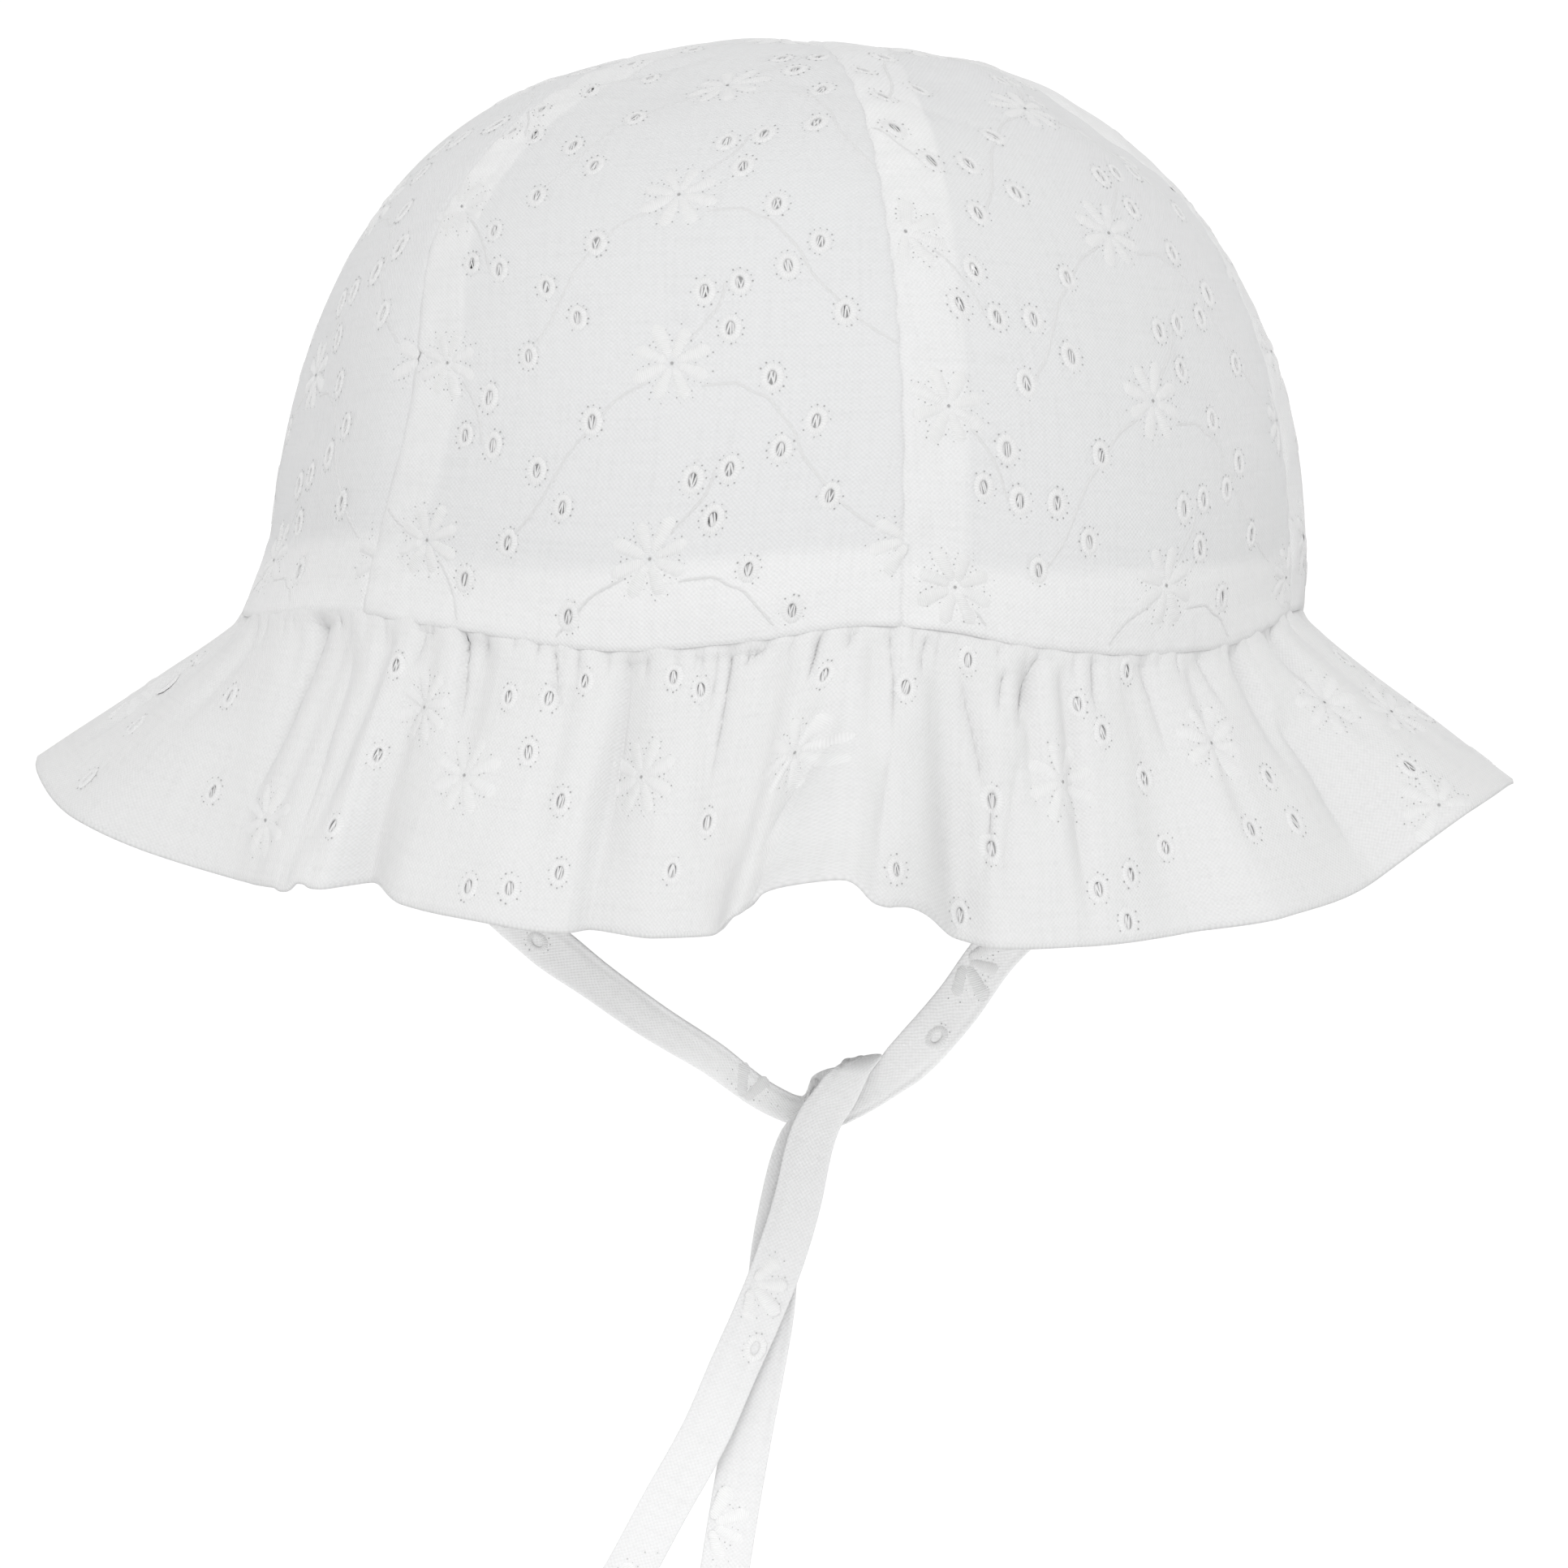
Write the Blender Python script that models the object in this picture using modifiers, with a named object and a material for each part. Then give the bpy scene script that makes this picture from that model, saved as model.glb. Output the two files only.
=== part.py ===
"""A baby's sun hat of white eyelet cotton: a crown of six panels, a gathered
brim that flares at the sides and hangs in front, and two flat ties in a half
knot under the chin.

Metres, +Z up. The front of the hat, with the knot, faces -Y. The origin is the
centre of the head opening, on the level of the seam between crown and brim.
"""
import bisect
import math

import bmesh
import bpy
from mathutils import Vector

MM = 0.001

# Crown
CROWN_WIDTH = 149.6 * MM
CROWN_DEPTH = 160.0 * MM
CROWN_HEIGHT = 83.0 * MM
CROWN_ROUNDNESS = 2.42
CROWN_WALL = 1.0 * MM
PANELS = 6
FIRST_SEAM = -49.0
SEAM_BOW = 5.5
BOW_REACH = 34.0
BOW_TOP = 0.50
APEX_TILT = 5.0
APEX_CUT = 1.1 * MM
PANEL_GAP = 0.3 * MM
SEAM_RISE = 1.0 * MM
LAYER_GAP = 0.6 * MM
TIE_SEAT_GAP = 0.8 * MM

# Bands that show through the crown
SEAM_FOLD_WIDTH = 9.0 * MM
SEAM_FOLD_WALL = 1.0 * MM
SEAM_FOLD_TOP = 0.86
SEAM_FOLD_SHARE = 0.40
FACING_HEIGHT = 11.0 * MM
FACING_WALL = 1.0 * MM

# Brim
BRIM_WIDTH = 40.0 * MM
BRIM_WALL = 1.5 * MM
BRIM_GAP = 0.4 * MM
SIDE_FLUTES = 7
GATHERS = 37
GATHER_DEPTH = 0.7 * MM
GATHER_END = 0.6
BRIM_BEND = 0.10

# Ties
TIE_WIDTH = 7.0 * MM
TIE_WALL = 1.0 * MM
TIE_SEWN_HEIGHT = 8.0 * MM
KNOT_DROP = 70.0 * MM
KNOT_FORWARD = 30.0 * MM
TAIL_LENGTH = 72.0 * MM
LEFT_TIE_SEAM = 5
RIGHT_TIE_SEAM = 2
TIE_TURNS = {LEFT_TIE_SEAM: 109.0, RIGHT_TIE_SEAM: -71.0}

# Eyelets
EYELET_WIDTH = 1.3 * MM
EYELET_LENGTH = 2.2 * MM
EYELET_SIDES = 6
PATTERN_WIDTH = 71.0 * MM
PATTERN_HEIGHT = 27.0 * MM
EYELET_MARGIN = 3.5 * MM
TOP_EYELET_RISE = 0.97
HEIGHT_STEPS = 60

# Mesh steps
PANEL_COLUMNS = 8
PANEL_ROWS = 12
BRIM_COLUMNS = 150
TIE_STEPS = 46

# The photographed folds of the seam line: how far each panel's edge sags in
# its middle, as a share of the brim's width. Panel 1 lies left of the front.
PANEL_SAGS = (0.11, 0.13, 0.05, 0.05, 0.05, 0.03)

# Outward flare of the crown's lowest edge. Angle from the front in degrees,
# positive to the right, and flare as a share of the crown's width.
EDGE_FLARE = (
    (-100.0, 0.020),
    (-75.0, 0.032),
    (-50.0, 0.010),
    (-20.0, 0.0),
    (60.0, 0.0),
    (105.0, -0.005),
    (180.0, 0.010),
)
FLARE_HEIGHT = 0.17

# Soft dents of the crown: angle, rise from edge (0) to top (1), depth and
# size, the last two as shares of the crown's height.
CROWN_DENTS = (
    ("right_shoulder", 62.0, 0.62, 0.030, 0.13),
    ("top_right", 30.0, 0.66, 0.016, 0.10),
    ("top_left", -24.0, 0.66, 0.016, 0.10),
    ("left_side", -70.0, 0.25, 0.010, 0.16),
)

# Folds of the brim in front: angle where the fold leaves the seam, angle where
# it meets the hem, and the hem's reach outward and drop below the origin, as
# shares of the brim's width.
BRIM_FOLDS = (
    (-92.0, -88.0, 0.76, 0.53),
    (-78.0, -72.0, 0.68, 0.69),
    (-64.4, -54.5, 0.45, 0.86),
    (-54.0, -46.5, 0.50, 0.885),
    (-46.0, -42.8, 0.47, 0.885),
    (-41.9, -40.6, 0.30, 0.865),
    (-36.0, -35.0, 0.40, 0.93),
    (-27.0, -27.0, 0.42, 0.975),
    (-20.0, -20.2, 0.36, 1.01),
    (-17.2, -18.2, 0.28, 1.0),
    (-12.0, -12.0, 0.34, 1.02),
    (-5.0, -7.0, 0.33, 1.01),
    (2.0, -4.6, 0.40, 0.94),
    (5.5, -2.6, 0.36, 0.895),
    (8.5, 4.5, 0.48, 0.845),
    (10.6, 7.2, 0.46, 0.89),
    (14.0, 11.0, 0.36, 0.93),
    (18.0, 16.6, 0.16, 1.04),
    (22.0, 20.0, 0.26, 1.07),
    (31.0, 29.0, 0.30, 1.065),
    (40.0, 38.4, 0.32, 1.035),
    (47.0, 45.5, 0.50, 0.99),
    (57.5, 57.5, 0.52, 0.90),
    (67.0, 66.0, 0.74, 0.66),
    (78.0, 76.0, 0.78, 0.59),
    (90.0, 89.0, 0.70, 0.62),
)
# The hidden half of the brim: angle, mean reach and reach of a flute above and
# below it, as shares of the brim's width.
BACK_REACH = (
    (90.0, 0.70, 0.05),
    (180.0, 0.55, 0.09),
    (270.0, 0.70, 0.05),
)
BRIM_LEVELS = (0.0, 0.06, 0.22, 0.46, 0.73, 1.0)

# Eyelets of one repeat of the pattern, across and up from its first daisy, as
# shares of the repeat's width and height.
EYELETS = (
    (-0.310, 0.045),
    (-0.268, -0.563),
    (-0.158, -0.300),
    (0.062, 0.390),
    (0.130, 0.440),
    (0.111, 0.185),
    (0.192, -0.085),
    (0.220, -0.470),
)
# Rows of the pattern that are cut, counted from the crown's edge.
CUT_ROWS = (1, 2)
# Pattern of each panel: its first daisy's place across from the middle and up
# from the edge, as shares of the repeat's width and height.
PANEL_PATTERNS = (
    (0.093, 0.460),
    (0.010, 0.350),
    (0.060, 0.400),
    (0.050, 0.300),
    (0.060, 0.400),
    (0.090, 0.330),
)
BRIM_CUTS = 22
BRIM_CUT_LEVELS = (0.42, 0.72)

# Routes of the two ties, from below the crown to the knot. Across is a share
# of the crown's half width, forward a share of the knot's distance in front,
# drop a share of the knot's drop; lean and turn set the way across the ribbon
# (degrees towards up, then towards the front), and the last is its width, as
# a share of the tie's.
LEFT_TIE = (
    (-0.840, -0.30, 0.28, 14.0, 84.0, 1.0),
    (-0.680, 0.20, 0.49, 32.0, 52.0, 1.0),
    (-0.467, 0.62, 0.673, 46.0, 24.0, 1.0),
    (-0.366, 0.76, 0.751, 50.0, 10.0, 1.0),
    (-0.261, 0.86, 0.829, 54.0, 2.0, 1.0),
    (-0.150, 0.92, 0.904, 57.0, 0.0, 0.95),
    (-0.033, 0.925, 0.980, 64.0, 0.0, 0.90),
    (0.030, 0.915, 0.990, 95.0, 0.0, 0.70),
    (0.062, 0.915, 0.966, 120.0, 0.0, 0.62),
    (0.102, 0.915, 0.926, 150.0, 0.0, 0.58),
    (0.132, 0.935, 0.886, 184.0, 0.0, 0.54),
    (0.134, 1.005, 0.866, 192.0, 0.0, 0.54),
    (0.120, 1.075, 0.890, 178.0, 0.0, 0.52),
    (0.093, 1.085, 0.958, 147.0, 0.0, 0.55),
    (0.070, 1.085, 0.998, 148.0, 0.0, 0.62),
)
RIGHT_TIE = (
    (0.840, 0.80, 0.26, -12.0, -60.0, 1.0),
    (0.600, 0.90, 0.50, -25.0, -36.0, 1.0),
    (0.397, 0.96, 0.676, -36.0, -16.0, 1.0),
    (0.321, 0.98, 0.786, -40.0, -6.0, 1.0),
    (0.259, 1.00, 0.863, -41.0, 0.0, 1.0),
    (0.223, 1.00, 0.903, -44.0, 0.0, 0.95),
    (0.179, 1.00, 0.946, -50.0, 0.0, 0.74),
    (0.135, 1.00, 0.978, -55.0, 0.0, 0.68),
    (0.098, 1.00, 0.999, -55.0, 0.0, 0.66),
    (0.051, 1.00, 1.022, -42.0, 0.0, 0.72),
)
# Tails: across as a share of the crown's half width, forward as for the ties,
# length below the knot as a share of the tail's, lean and width as above.
LEFT_TAIL = (
    (0.049, 1.080, 0.050, 168.0, 0.72),
    (0.028, 1.075, 0.180, 166.0, 0.78),
    (-0.015, 1.075, 0.295, 159.0, 0.88),
    (-0.060, 1.075, 0.405, 156.0, 1.0),
    (-0.107, 1.075, 0.515, 155.0, 1.0),
    (-0.157, 1.075, 0.635, 154.0, 1.0),
    (-0.242, 1.070, 0.795, 151.0, 1.0),
    (-0.303, 1.065, 0.913, 150.0, 1.0),
    (-0.352, 1.060, 1.000, 150.0, 1.0),
)
RIGHT_TAIL = (
    (0.023, 1.000, 0.060, -18.0, 0.90),
    (-0.007, 1.000, 0.180, -13.0, 1.0),
    (-0.027, 1.000, 0.295, -9.0, 1.0),
    (-0.037, 1.000, 0.405, -7.0, 1.0),
    (-0.055, 1.000, 0.515, -9.0, 1.0),
    (-0.077, 1.000, 0.635, -10.0, 1.0),
    (-0.104, 1.000, 0.795, -10.0, 1.0),
    (-0.122, 1.000, 0.913, -9.0, 1.0),
    (-0.132, 1.000, 0.985, -8.0, 1.0),
)

OBJECT_NAME = "sun_hat"


def remove_all():
    for item in list(bpy.data.objects):
        bpy.data.objects.remove(item, do_unlink=True)


def new_collection(name):
    made = bpy.data.collections.new(name)
    bpy.context.scene.collection.children.link(made)
    return made


def cloth_material(name, colour, roughness):
    made = bpy.data.materials.new(name)
    made.use_nodes = True
    shader = made.node_tree.nodes["Principled BSDF"]
    shader.inputs["Base Color"].default_value = (*colour, 1.0)
    shader.inputs["Roughness"].default_value = roughness
    shader.inputs["Metallic"].default_value = 0.0
    return made


def smooth_curve(places, values, at):
    """Value at a place on a smooth line through the rows, without overshoot."""
    index = min(max(bisect.bisect_right(places, at) - 1, 0), len(places) - 2)

    def rise(k):
        return (values[k + 1] - values[k]) / (places[k + 1] - places[k])

    def slope(k):
        if k == 0 or k == len(places) - 1:
            return 0.0
        before = rise(k - 1)
        after = rise(k)
        if before * after <= 0.0:
            return 0.0
        return 2.0 * before * after / (before + after)

    step = places[index + 1] - places[index]
    share = (at - places[index]) / step
    square = share * share
    cube = square * share
    return ((2 * cube - 3 * square + 1) * values[index]
            + (cube - 2 * square + share) * step * slope(index)
            + (3 * square - 2 * cube) * values[index + 1]
            + (cube - square) * step * slope(index + 1))


def round_table(rows):
    """The same rows repeated one turn earlier and one turn later."""
    turned = []
    for turn in (-360.0, 0.0, 360.0):
        for row in rows:
            turned.append((row[0] + turn,) + tuple(row[1:]))
    return turned


def column(rows, number):
    return [row[number] for row in rows]


def seam_angle(number):
    return FIRST_SEAM + number * 360.0 / PANELS


def edge_level(angle):
    """Height of the seam between crown and brim at an angle."""
    turn = ((angle - FIRST_SEAM) % 360.0) * PANELS / 360.0
    panel = int(turn) % PANELS
    across = 2.0 * (turn - int(turn)) - 1.0
    sag = PANEL_SAGS[panel] * BRIM_WIDTH
    return SEAM_RISE - sag * (1.0 - across * across)


FLARE_ROWS = round_table(EDGE_FLARE)


def edge_flare(angle):
    wrapped = (angle + 180.0) % 360.0 - 180.0
    return CROWN_WIDTH * smooth_curve(column(FLARE_ROWS, 0), column(FLARE_ROWS, 1), wrapped)


def dome_direction(angle, rise):
    """Direction from the origin, on the arc from the edge to the tilted top."""
    away = (angle - FIRST_SEAM + 180.0) % 360.0 - 180.0
    swing = math.sin(math.pi * min(rise / BOW_TOP, 1.0)) ** 2
    turn = math.radians(angle + SEAM_BOW * swing * math.exp(-(away / BOW_REACH) ** 2))
    tilt = math.radians(APEX_TILT)
    edge = Vector((math.sin(turn), -math.cos(turn), 0.0))
    top = Vector((0.0, math.sin(tilt), math.cos(tilt)))
    full = edge.angle(top)
    return (edge * math.sin((1.0 - rise) * full) + top * math.sin(rise * full)) / math.sin(full)


def plain_dome(angle, rise, inset):
    half_width = CROWN_WIDTH / 2 - inset
    half_depth = CROWN_DEPTH / 2 - inset
    height = CROWN_HEIGHT - inset
    way = dome_direction(angle, rise)
    round_share = math.hypot(way.x / half_width, way.y / half_depth)
    size = (round_share ** CROWN_ROUNDNESS
            + abs(way.z / height) ** CROWN_ROUNDNESS) ** (-1.0 / CROWN_ROUNDNESS)
    point = way * size
    fade = max(0.0, 1.0 - point.z / (FLARE_HEIGHT * CROWN_HEIGHT))
    outward = Vector((math.sin(math.radians(angle)), -math.cos(math.radians(angle)), 0.0))
    point += outward * edge_flare(angle) * fade * fade
    drop = max(0.0, 1.0 - point.z / CROWN_HEIGHT)
    point.z += edge_level(angle) * drop ** 3
    return point


DENT_CENTRES = [plain_dome(row[1], row[2], 0.0) for row in CROWN_DENTS]


def dome_point(angle, rise, inset=0.0):
    """Point of the crown's middle surface, or of one inset from it."""
    point = plain_dome(angle, rise, inset)
    inward = -point.normalized()
    for row, centre in zip(CROWN_DENTS, DENT_CENTRES):
        depth = row[3] * CROWN_HEIGHT
        size = row[4] * CROWN_HEIGHT
        point += inward * depth * math.exp(-((point - centre).length / size) ** 2)
    return point


def rise_at(angle, height, inset):
    """Rise at which the crown's lower part is this high above its edge."""
    edge = dome_point(angle, 0.0, inset).z
    low = 0.0
    high = 0.5
    for _ in range(24):
        middle = (low + high) / 2
        if dome_point(angle, middle, inset).z - edge < height:
            low = middle
        else:
            high = middle
    return low


def half_arc(number, rise, inset):
    """Half of a panel's width at a rise."""
    left = dome_point(seam_angle(number), rise, inset)
    middle = dome_point(seam_angle(number + 0.5), rise, inset)
    right = dome_point(seam_angle(number + 1), rise, inset)
    return ((left - middle).length + (right - middle).length) / 2


def top_rise(number, inset):
    """Rise at which a panel is as narrow as its cut tip."""
    low = 0.5
    high = 0.9999
    for _ in range(24):
        middle = (low + high) / 2
        if half_arc(number, middle, inset) > APEX_CUT:
            low = middle
        else:
            high = middle
    return low


def panel_point(number, across, rise, inset=0.0):
    """Point of a panel, across from -1 to 1, short of its seams by half a gap."""
    trim = 1.0 - PANEL_GAP / 2 / half_arc(number, rise, inset)
    angle = seam_angle(number + 0.5) + across * trim * 180.0 / PANELS
    return dome_point(angle, rise, inset)


def grid_object(name, points, closed_around, collection):
    """Sheet of quads through rows of points. A closed one joins its sides."""
    mesh = bpy.data.meshes.new(name)
    form = bmesh.new()
    rows = [[form.verts.new(point) for point in row] for row in points]
    for low, high in zip(rows, rows[1:]):
        count = len(low)
        last = count if closed_around else count - 1
        for k in range(last):
            nxt = (k + 1) % count
            form.faces.new((low[k], low[nxt], high[nxt], high[k]))
    form.normal_update()
    form.to_mesh(mesh)
    form.free()
    made = bpy.data.objects.new(name, mesh)
    collection.objects.link(made)
    return made


def thicken(sheet, wall, material):
    solid = sheet.modifiers.new("wall", "SOLIDIFY")
    solid.thickness = wall
    solid.offset = 0.0
    solid.use_even_offset = False
    sheet.data.materials.append(material)
    sheet.data.shade_smooth()
    return sheet


def cutter_mesh(name, places, collection):
    """One prism with an oval section at each place: point, outward, upward."""
    mesh = bpy.data.meshes.new(name)
    form = bmesh.new()
    reach = 2.0 * (CROWN_WALL + BRIM_WALL)
    for point, outward, upward in places:
        aside = upward.cross(outward)
        rings = []
        for end in (-reach, reach):
            ring = []
            for k in range(EYELET_SIDES):
                turn = 2.0 * math.pi * (k + 0.5) / EYELET_SIDES
                ring.append(form.verts.new(point + outward * end
                                           + aside * math.cos(turn) * EYELET_WIDTH / 2
                                           + upward * math.sin(turn) * EYELET_LENGTH / 2))
            rings.append(ring)
        form.faces.new(rings[0][::-1])
        form.faces.new(rings[1])
        for k in range(EYELET_SIDES):
            nxt = (k + 1) % EYELET_SIDES
            form.faces.new((rings[0][k], rings[0][nxt], rings[1][nxt], rings[1][k]))
    bmesh.ops.recalc_face_normals(form, faces=form.faces)
    form.to_mesh(mesh)
    form.free()
    made = bpy.data.objects.new(name, mesh)
    made.hide_render = True
    made.display_type = "WIRE"
    collection.objects.link(made)
    return made


def cut_with(part, cutter):
    cut = part.modifiers.new("eyelets", "BOOLEAN")
    cut.operation = "DIFFERENCE"
    cut.solver = "EXACT"
    cut.object = cutter


def surface_frame(place, step_across, step_up):
    """Point, outward and upward directions of a surface given by a function."""
    point = place(0.0, 0.0)
    across = (place(step_across, 0.0) - point).normalized()
    upward = (place(0.0, step_up) - point).normalized()
    outward = across.cross(upward).normalized()
    return point, outward, outward.cross(across).normalized()


def panel_heights(number):
    """Rises along a panel's middle line and the distance up to each."""
    rises = [TOP_EYELET_RISE * k / HEIGHT_STEPS for k in range(HEIGHT_STEPS + 1)]
    heights = [0.0]
    before = dome_point(seam_angle(number + 0.5), rises[0])
    for rise in rises[1:]:
        point = dome_point(seam_angle(number + 0.5), rise)
        heights.append(heights[-1] + (point - before).length)
        before = point
    return rises, heights


def panel_eyelets(number):
    """Places of the eyelets that are cut in a panel."""
    rises, heights = panel_heights(number)
    shift, start = PANEL_PATTERNS[number]
    places = []
    for row in CUT_ROWS:
        for across_share, up_share in EYELETS:
            across = (shift + across_share) * PATTERN_WIDTH
            up = (start + row + up_share) * PATTERN_HEIGHT
            if not EYELET_MARGIN < up < heights[-1]:
                continue
            rise = smooth_curve(heights, rises, up)
            half = half_arc(number, rise, 0.0)
            if abs(across) > half - EYELET_MARGIN:
                continue

            def place(more_across, more_up, start=across / half, level=rise):
                return panel_point(number, start + more_across, level + more_up)

            places.append(surface_frame(place, 0.01, 0.01))
    return places


def make_crown(parts, cutters, material):
    for number in range(PANELS):
        name = "crown_panel_%d" % (number + 1)
        top = top_rise(number, 0.0)
        points = []
        for row in range(PANEL_ROWS):
            rise = top * row / (PANEL_ROWS - 1)
            points.append([panel_point(number, 2.0 * k / PANEL_COLUMNS - 1.0, rise)
                           for k in range(PANEL_COLUMNS + 1)])
        panel = thicken(grid_object(name, points, False, parts), CROWN_WALL, material)
        cutter = cutter_mesh(name + "_eyelets", panel_eyelets(number), cutters)
        cut_with(panel, cutter)


def make_seam_folds(parts, material):
    """Folded edges of the panels, flat inside the crown, right of each seam."""
    inset = (CROWN_WALL + SEAM_FOLD_WALL) / 2 + LAYER_GAP
    for number in range(PANELS):
        points = []
        for row in range(PANEL_ROWS):
            rise = SEAM_FOLD_TOP * row / (PANEL_ROWS - 1)
            width = 2.0 * half_arc(number, rise, inset)
            share = min(SEAM_FOLD_WIDTH / width, SEAM_FOLD_SHARE)
            starts = 360.0 / PANELS * LAYER_GAP / width
            angles = [seam_angle(number) + starts, seam_angle(number) + starts
                      + share * 360.0 / PANELS]
            points.append([dome_point(angle, rise, inset) for angle in angles])
        thicken(grid_object("seam_fold_%d" % (number + 1), points, False, parts),
                SEAM_FOLD_WALL, material)


def make_facing(parts, material):
    """Band sewn round the inside of the head opening."""
    inset = CROWN_WALL / 2 + SEAM_FOLD_WALL + FACING_WALL / 2 + 2.0 * LAYER_GAP
    columns = PANELS * PANEL_COLUMNS
    points = []
    for level in range(2):
        ring = []
        for k in range(columns):
            angle = FIRST_SEAM + 360.0 * k / columns
            rise = rise_at(angle, level * FACING_HEIGHT, inset)
            ring.append(dome_point(angle, rise, inset))
        points.append(ring)
    thicken(grid_object("facing_band", points, True, parts), FACING_WALL, material)


def back_folds():
    """Plain flutes of the brim's hidden half, crest and valley in turn."""
    rows = []
    count = 2 * SIDE_FLUTES
    first = BRIM_FOLDS[-1][0]
    last = BRIM_FOLDS[0][0] + 360.0
    for k in range(1, count):
        angle = first + (last - first) * k / count
        reach = smooth_curve(column(BACK_REACH, 0), column(BACK_REACH, 1), angle)
        swing = smooth_curve(column(BACK_REACH, 0), column(BACK_REACH, 2), angle)
        reach += swing if k % 2 else -swing
        rows.append((angle, angle, reach, math.sqrt(1.0 - reach * reach)))
    return rows


FOLD_ROWS = round_table(list(BRIM_FOLDS) + back_folds())
FOLD_SEAMS = column(FOLD_ROWS, 0)
FOLD_HEMS = [row[0] + (row[1] - row[0] + 180.0) % 360.0 - 180.0 for row in FOLD_ROWS]
FOLD_REACHES = column(FOLD_ROWS, 2)
FOLD_DROPS = column(FOLD_ROWS, 3)


def brim_point(angle, level):
    """Point of the brim's middle surface, level 0 at the seam and 1 at the hem."""
    wrapped = (angle + 180.0) % 360.0 - 180.0
    hem_angle = smooth_curve(FOLD_SEAMS, FOLD_HEMS, wrapped)
    reach = smooth_curve(FOLD_SEAMS, FOLD_REACHES, wrapped) * BRIM_WIDTH
    hem_drop = smooth_curve(FOLD_SEAMS, FOLD_DROPS, wrapped) * BRIM_WIDTH
    turn = math.radians(wrapped + (hem_angle - wrapped) * level)
    outward = Vector((math.sin(turn), -math.cos(turn), 0.0))
    bend = level * level / (level + BRIM_BEND) * (1.0 + BRIM_BEND)
    gather = GATHER_DEPTH * math.sin(math.radians(wrapped) * GATHERS)
    gather *= math.sin(math.pi * min(1.0, level / GATHER_END))
    wide = CROWN_WIDTH / 2 + edge_flare(wrapped)
    deep = CROWN_DEPTH / 2 + edge_flare(wrapped)
    out = reach * bend + gather
    seam_z = edge_level(wrapped) - CROWN_WALL / 2 - BRIM_GAP
    return Vector((outward.x * (wide + out), outward.y * (deep + out),
                   seam_z + (-hem_drop - seam_z) * level))


def brim_eyelets():
    places = []
    for k in range(BRIM_CUTS):
        angle = FIRST_SEAM + 360.0 * (k + 0.5) / BRIM_CUTS
        level = BRIM_CUT_LEVELS[k % len(BRIM_CUT_LEVELS)]

        def place(more_across, more_up, start=angle, height=level):
            return brim_point(start + more_across, height - more_up)

        places.append(surface_frame(place, 0.5, 0.03))
    return places


def make_brim(parts, cutters, material):
    points = []
    for level in reversed(BRIM_LEVELS):
        points.append([brim_point(360.0 * k / BRIM_COLUMNS - 180.0, level)
                       for k in range(BRIM_COLUMNS)])
    brim = thicken(grid_object("brim", points, True, parts), BRIM_WALL, material)
    cut_with(brim, cutter_mesh("brim_eyelets", brim_eyelets(), cutters))


def seat_rows(number):
    """Top of a tie, flat on the facing at a seam, from its sewn end down."""
    angle = seam_angle(number)
    inset = (CROWN_WALL + TIE_WALL) / 2 + SEAM_FOLD_WALL + FACING_WALL + 2.0 * LAYER_GAP
    inset += TIE_SEAT_GAP
    turn = TIE_TURNS[number]
    rows = []
    for height in (TIE_SEWN_HEIGHT, TIE_SEWN_HEIGHT / 2, 0.0):
        rows.append((dome_point(angle, rise_at(angle, height, inset), inset),
                     0.0, turn, TIE_WIDTH / 2))
    below = rows[-1][0] - Vector((0.0, 0.0, TIE_SEWN_HEIGHT))
    rows.append((below, 0.0, turn, TIE_WIDTH / 2))
    return rows


def tie_rows(number, route, tail):
    """Centre, width direction and half width along a tie, in metres."""
    half_width = CROWN_WIDTH / 2
    rows = seat_rows(number)
    for across, forward, drop, lean, turn, share in route:
        centre = Vector((across * half_width, -forward * KNOT_FORWARD, -drop * KNOT_DROP))
        rows.append((centre, lean, turn, share * TIE_WIDTH / 2))
    for across, forward, along, lean, share in tail:
        centre = Vector((across * half_width, -forward * KNOT_FORWARD,
                         -KNOT_DROP - along * TAIL_LENGTH))
        rows.append((centre, lean, 0.0, share * TIE_WIDTH / 2))
    return rows


def make_tie(name, number, route, tail, parts, material):
    rows = tie_rows(number, route, tail)
    lengths = [0.0]
    for before, after in zip(rows, rows[1:]):
        lengths.append(lengths[-1] + (after[0] - before[0]).length)

    def along(values, at):
        return smooth_curve(lengths, values, at)

    points = []
    for k in range(TIE_STEPS + 1):
        at = lengths[-1] * k / TIE_STEPS
        centre = Vector([along([row[0][axis] for row in rows], at) for axis in range(3)])
        lean = math.radians(along([row[1] for row in rows], at))
        turn = math.radians(along([row[2] for row in rows], at))
        half = along([row[3] for row in rows], at)
        side = Vector((math.cos(lean) * math.cos(turn), -math.cos(lean) * math.sin(turn),
                       math.sin(lean)))
        points.append([centre - side * half, centre + side * half])
    thicken(grid_object(name, points, False, parts), TIE_WALL, material)


def main():
    remove_all()
    parts = new_collection(OBJECT_NAME)
    cutters = new_collection("cutters")
    eyelet_cotton = cloth_material("eyelet_cotton", (0.90, 0.90, 0.89), 0.85)
    brim_cotton = cloth_material("brim_cotton", (0.91, 0.91, 0.90), 0.85)
    plain_cotton = cloth_material("plain_cotton", (0.92, 0.91, 0.89), 0.9)
    tie_cotton = cloth_material("tie_cotton", (0.87, 0.87, 0.87), 0.85)
    make_crown(parts, cutters, eyelet_cotton)
    make_seam_folds(parts, plain_cotton)
    make_facing(parts, plain_cotton)
    make_brim(parts, cutters, brim_cotton)
    make_tie("tie_left", LEFT_TIE_SEAM, LEFT_TIE, LEFT_TAIL, parts, tie_cotton)
    make_tie("tie_right", RIGHT_TIE_SEAM, RIGHT_TIE, RIGHT_TAIL, parts, tie_cotton)


main()
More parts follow.
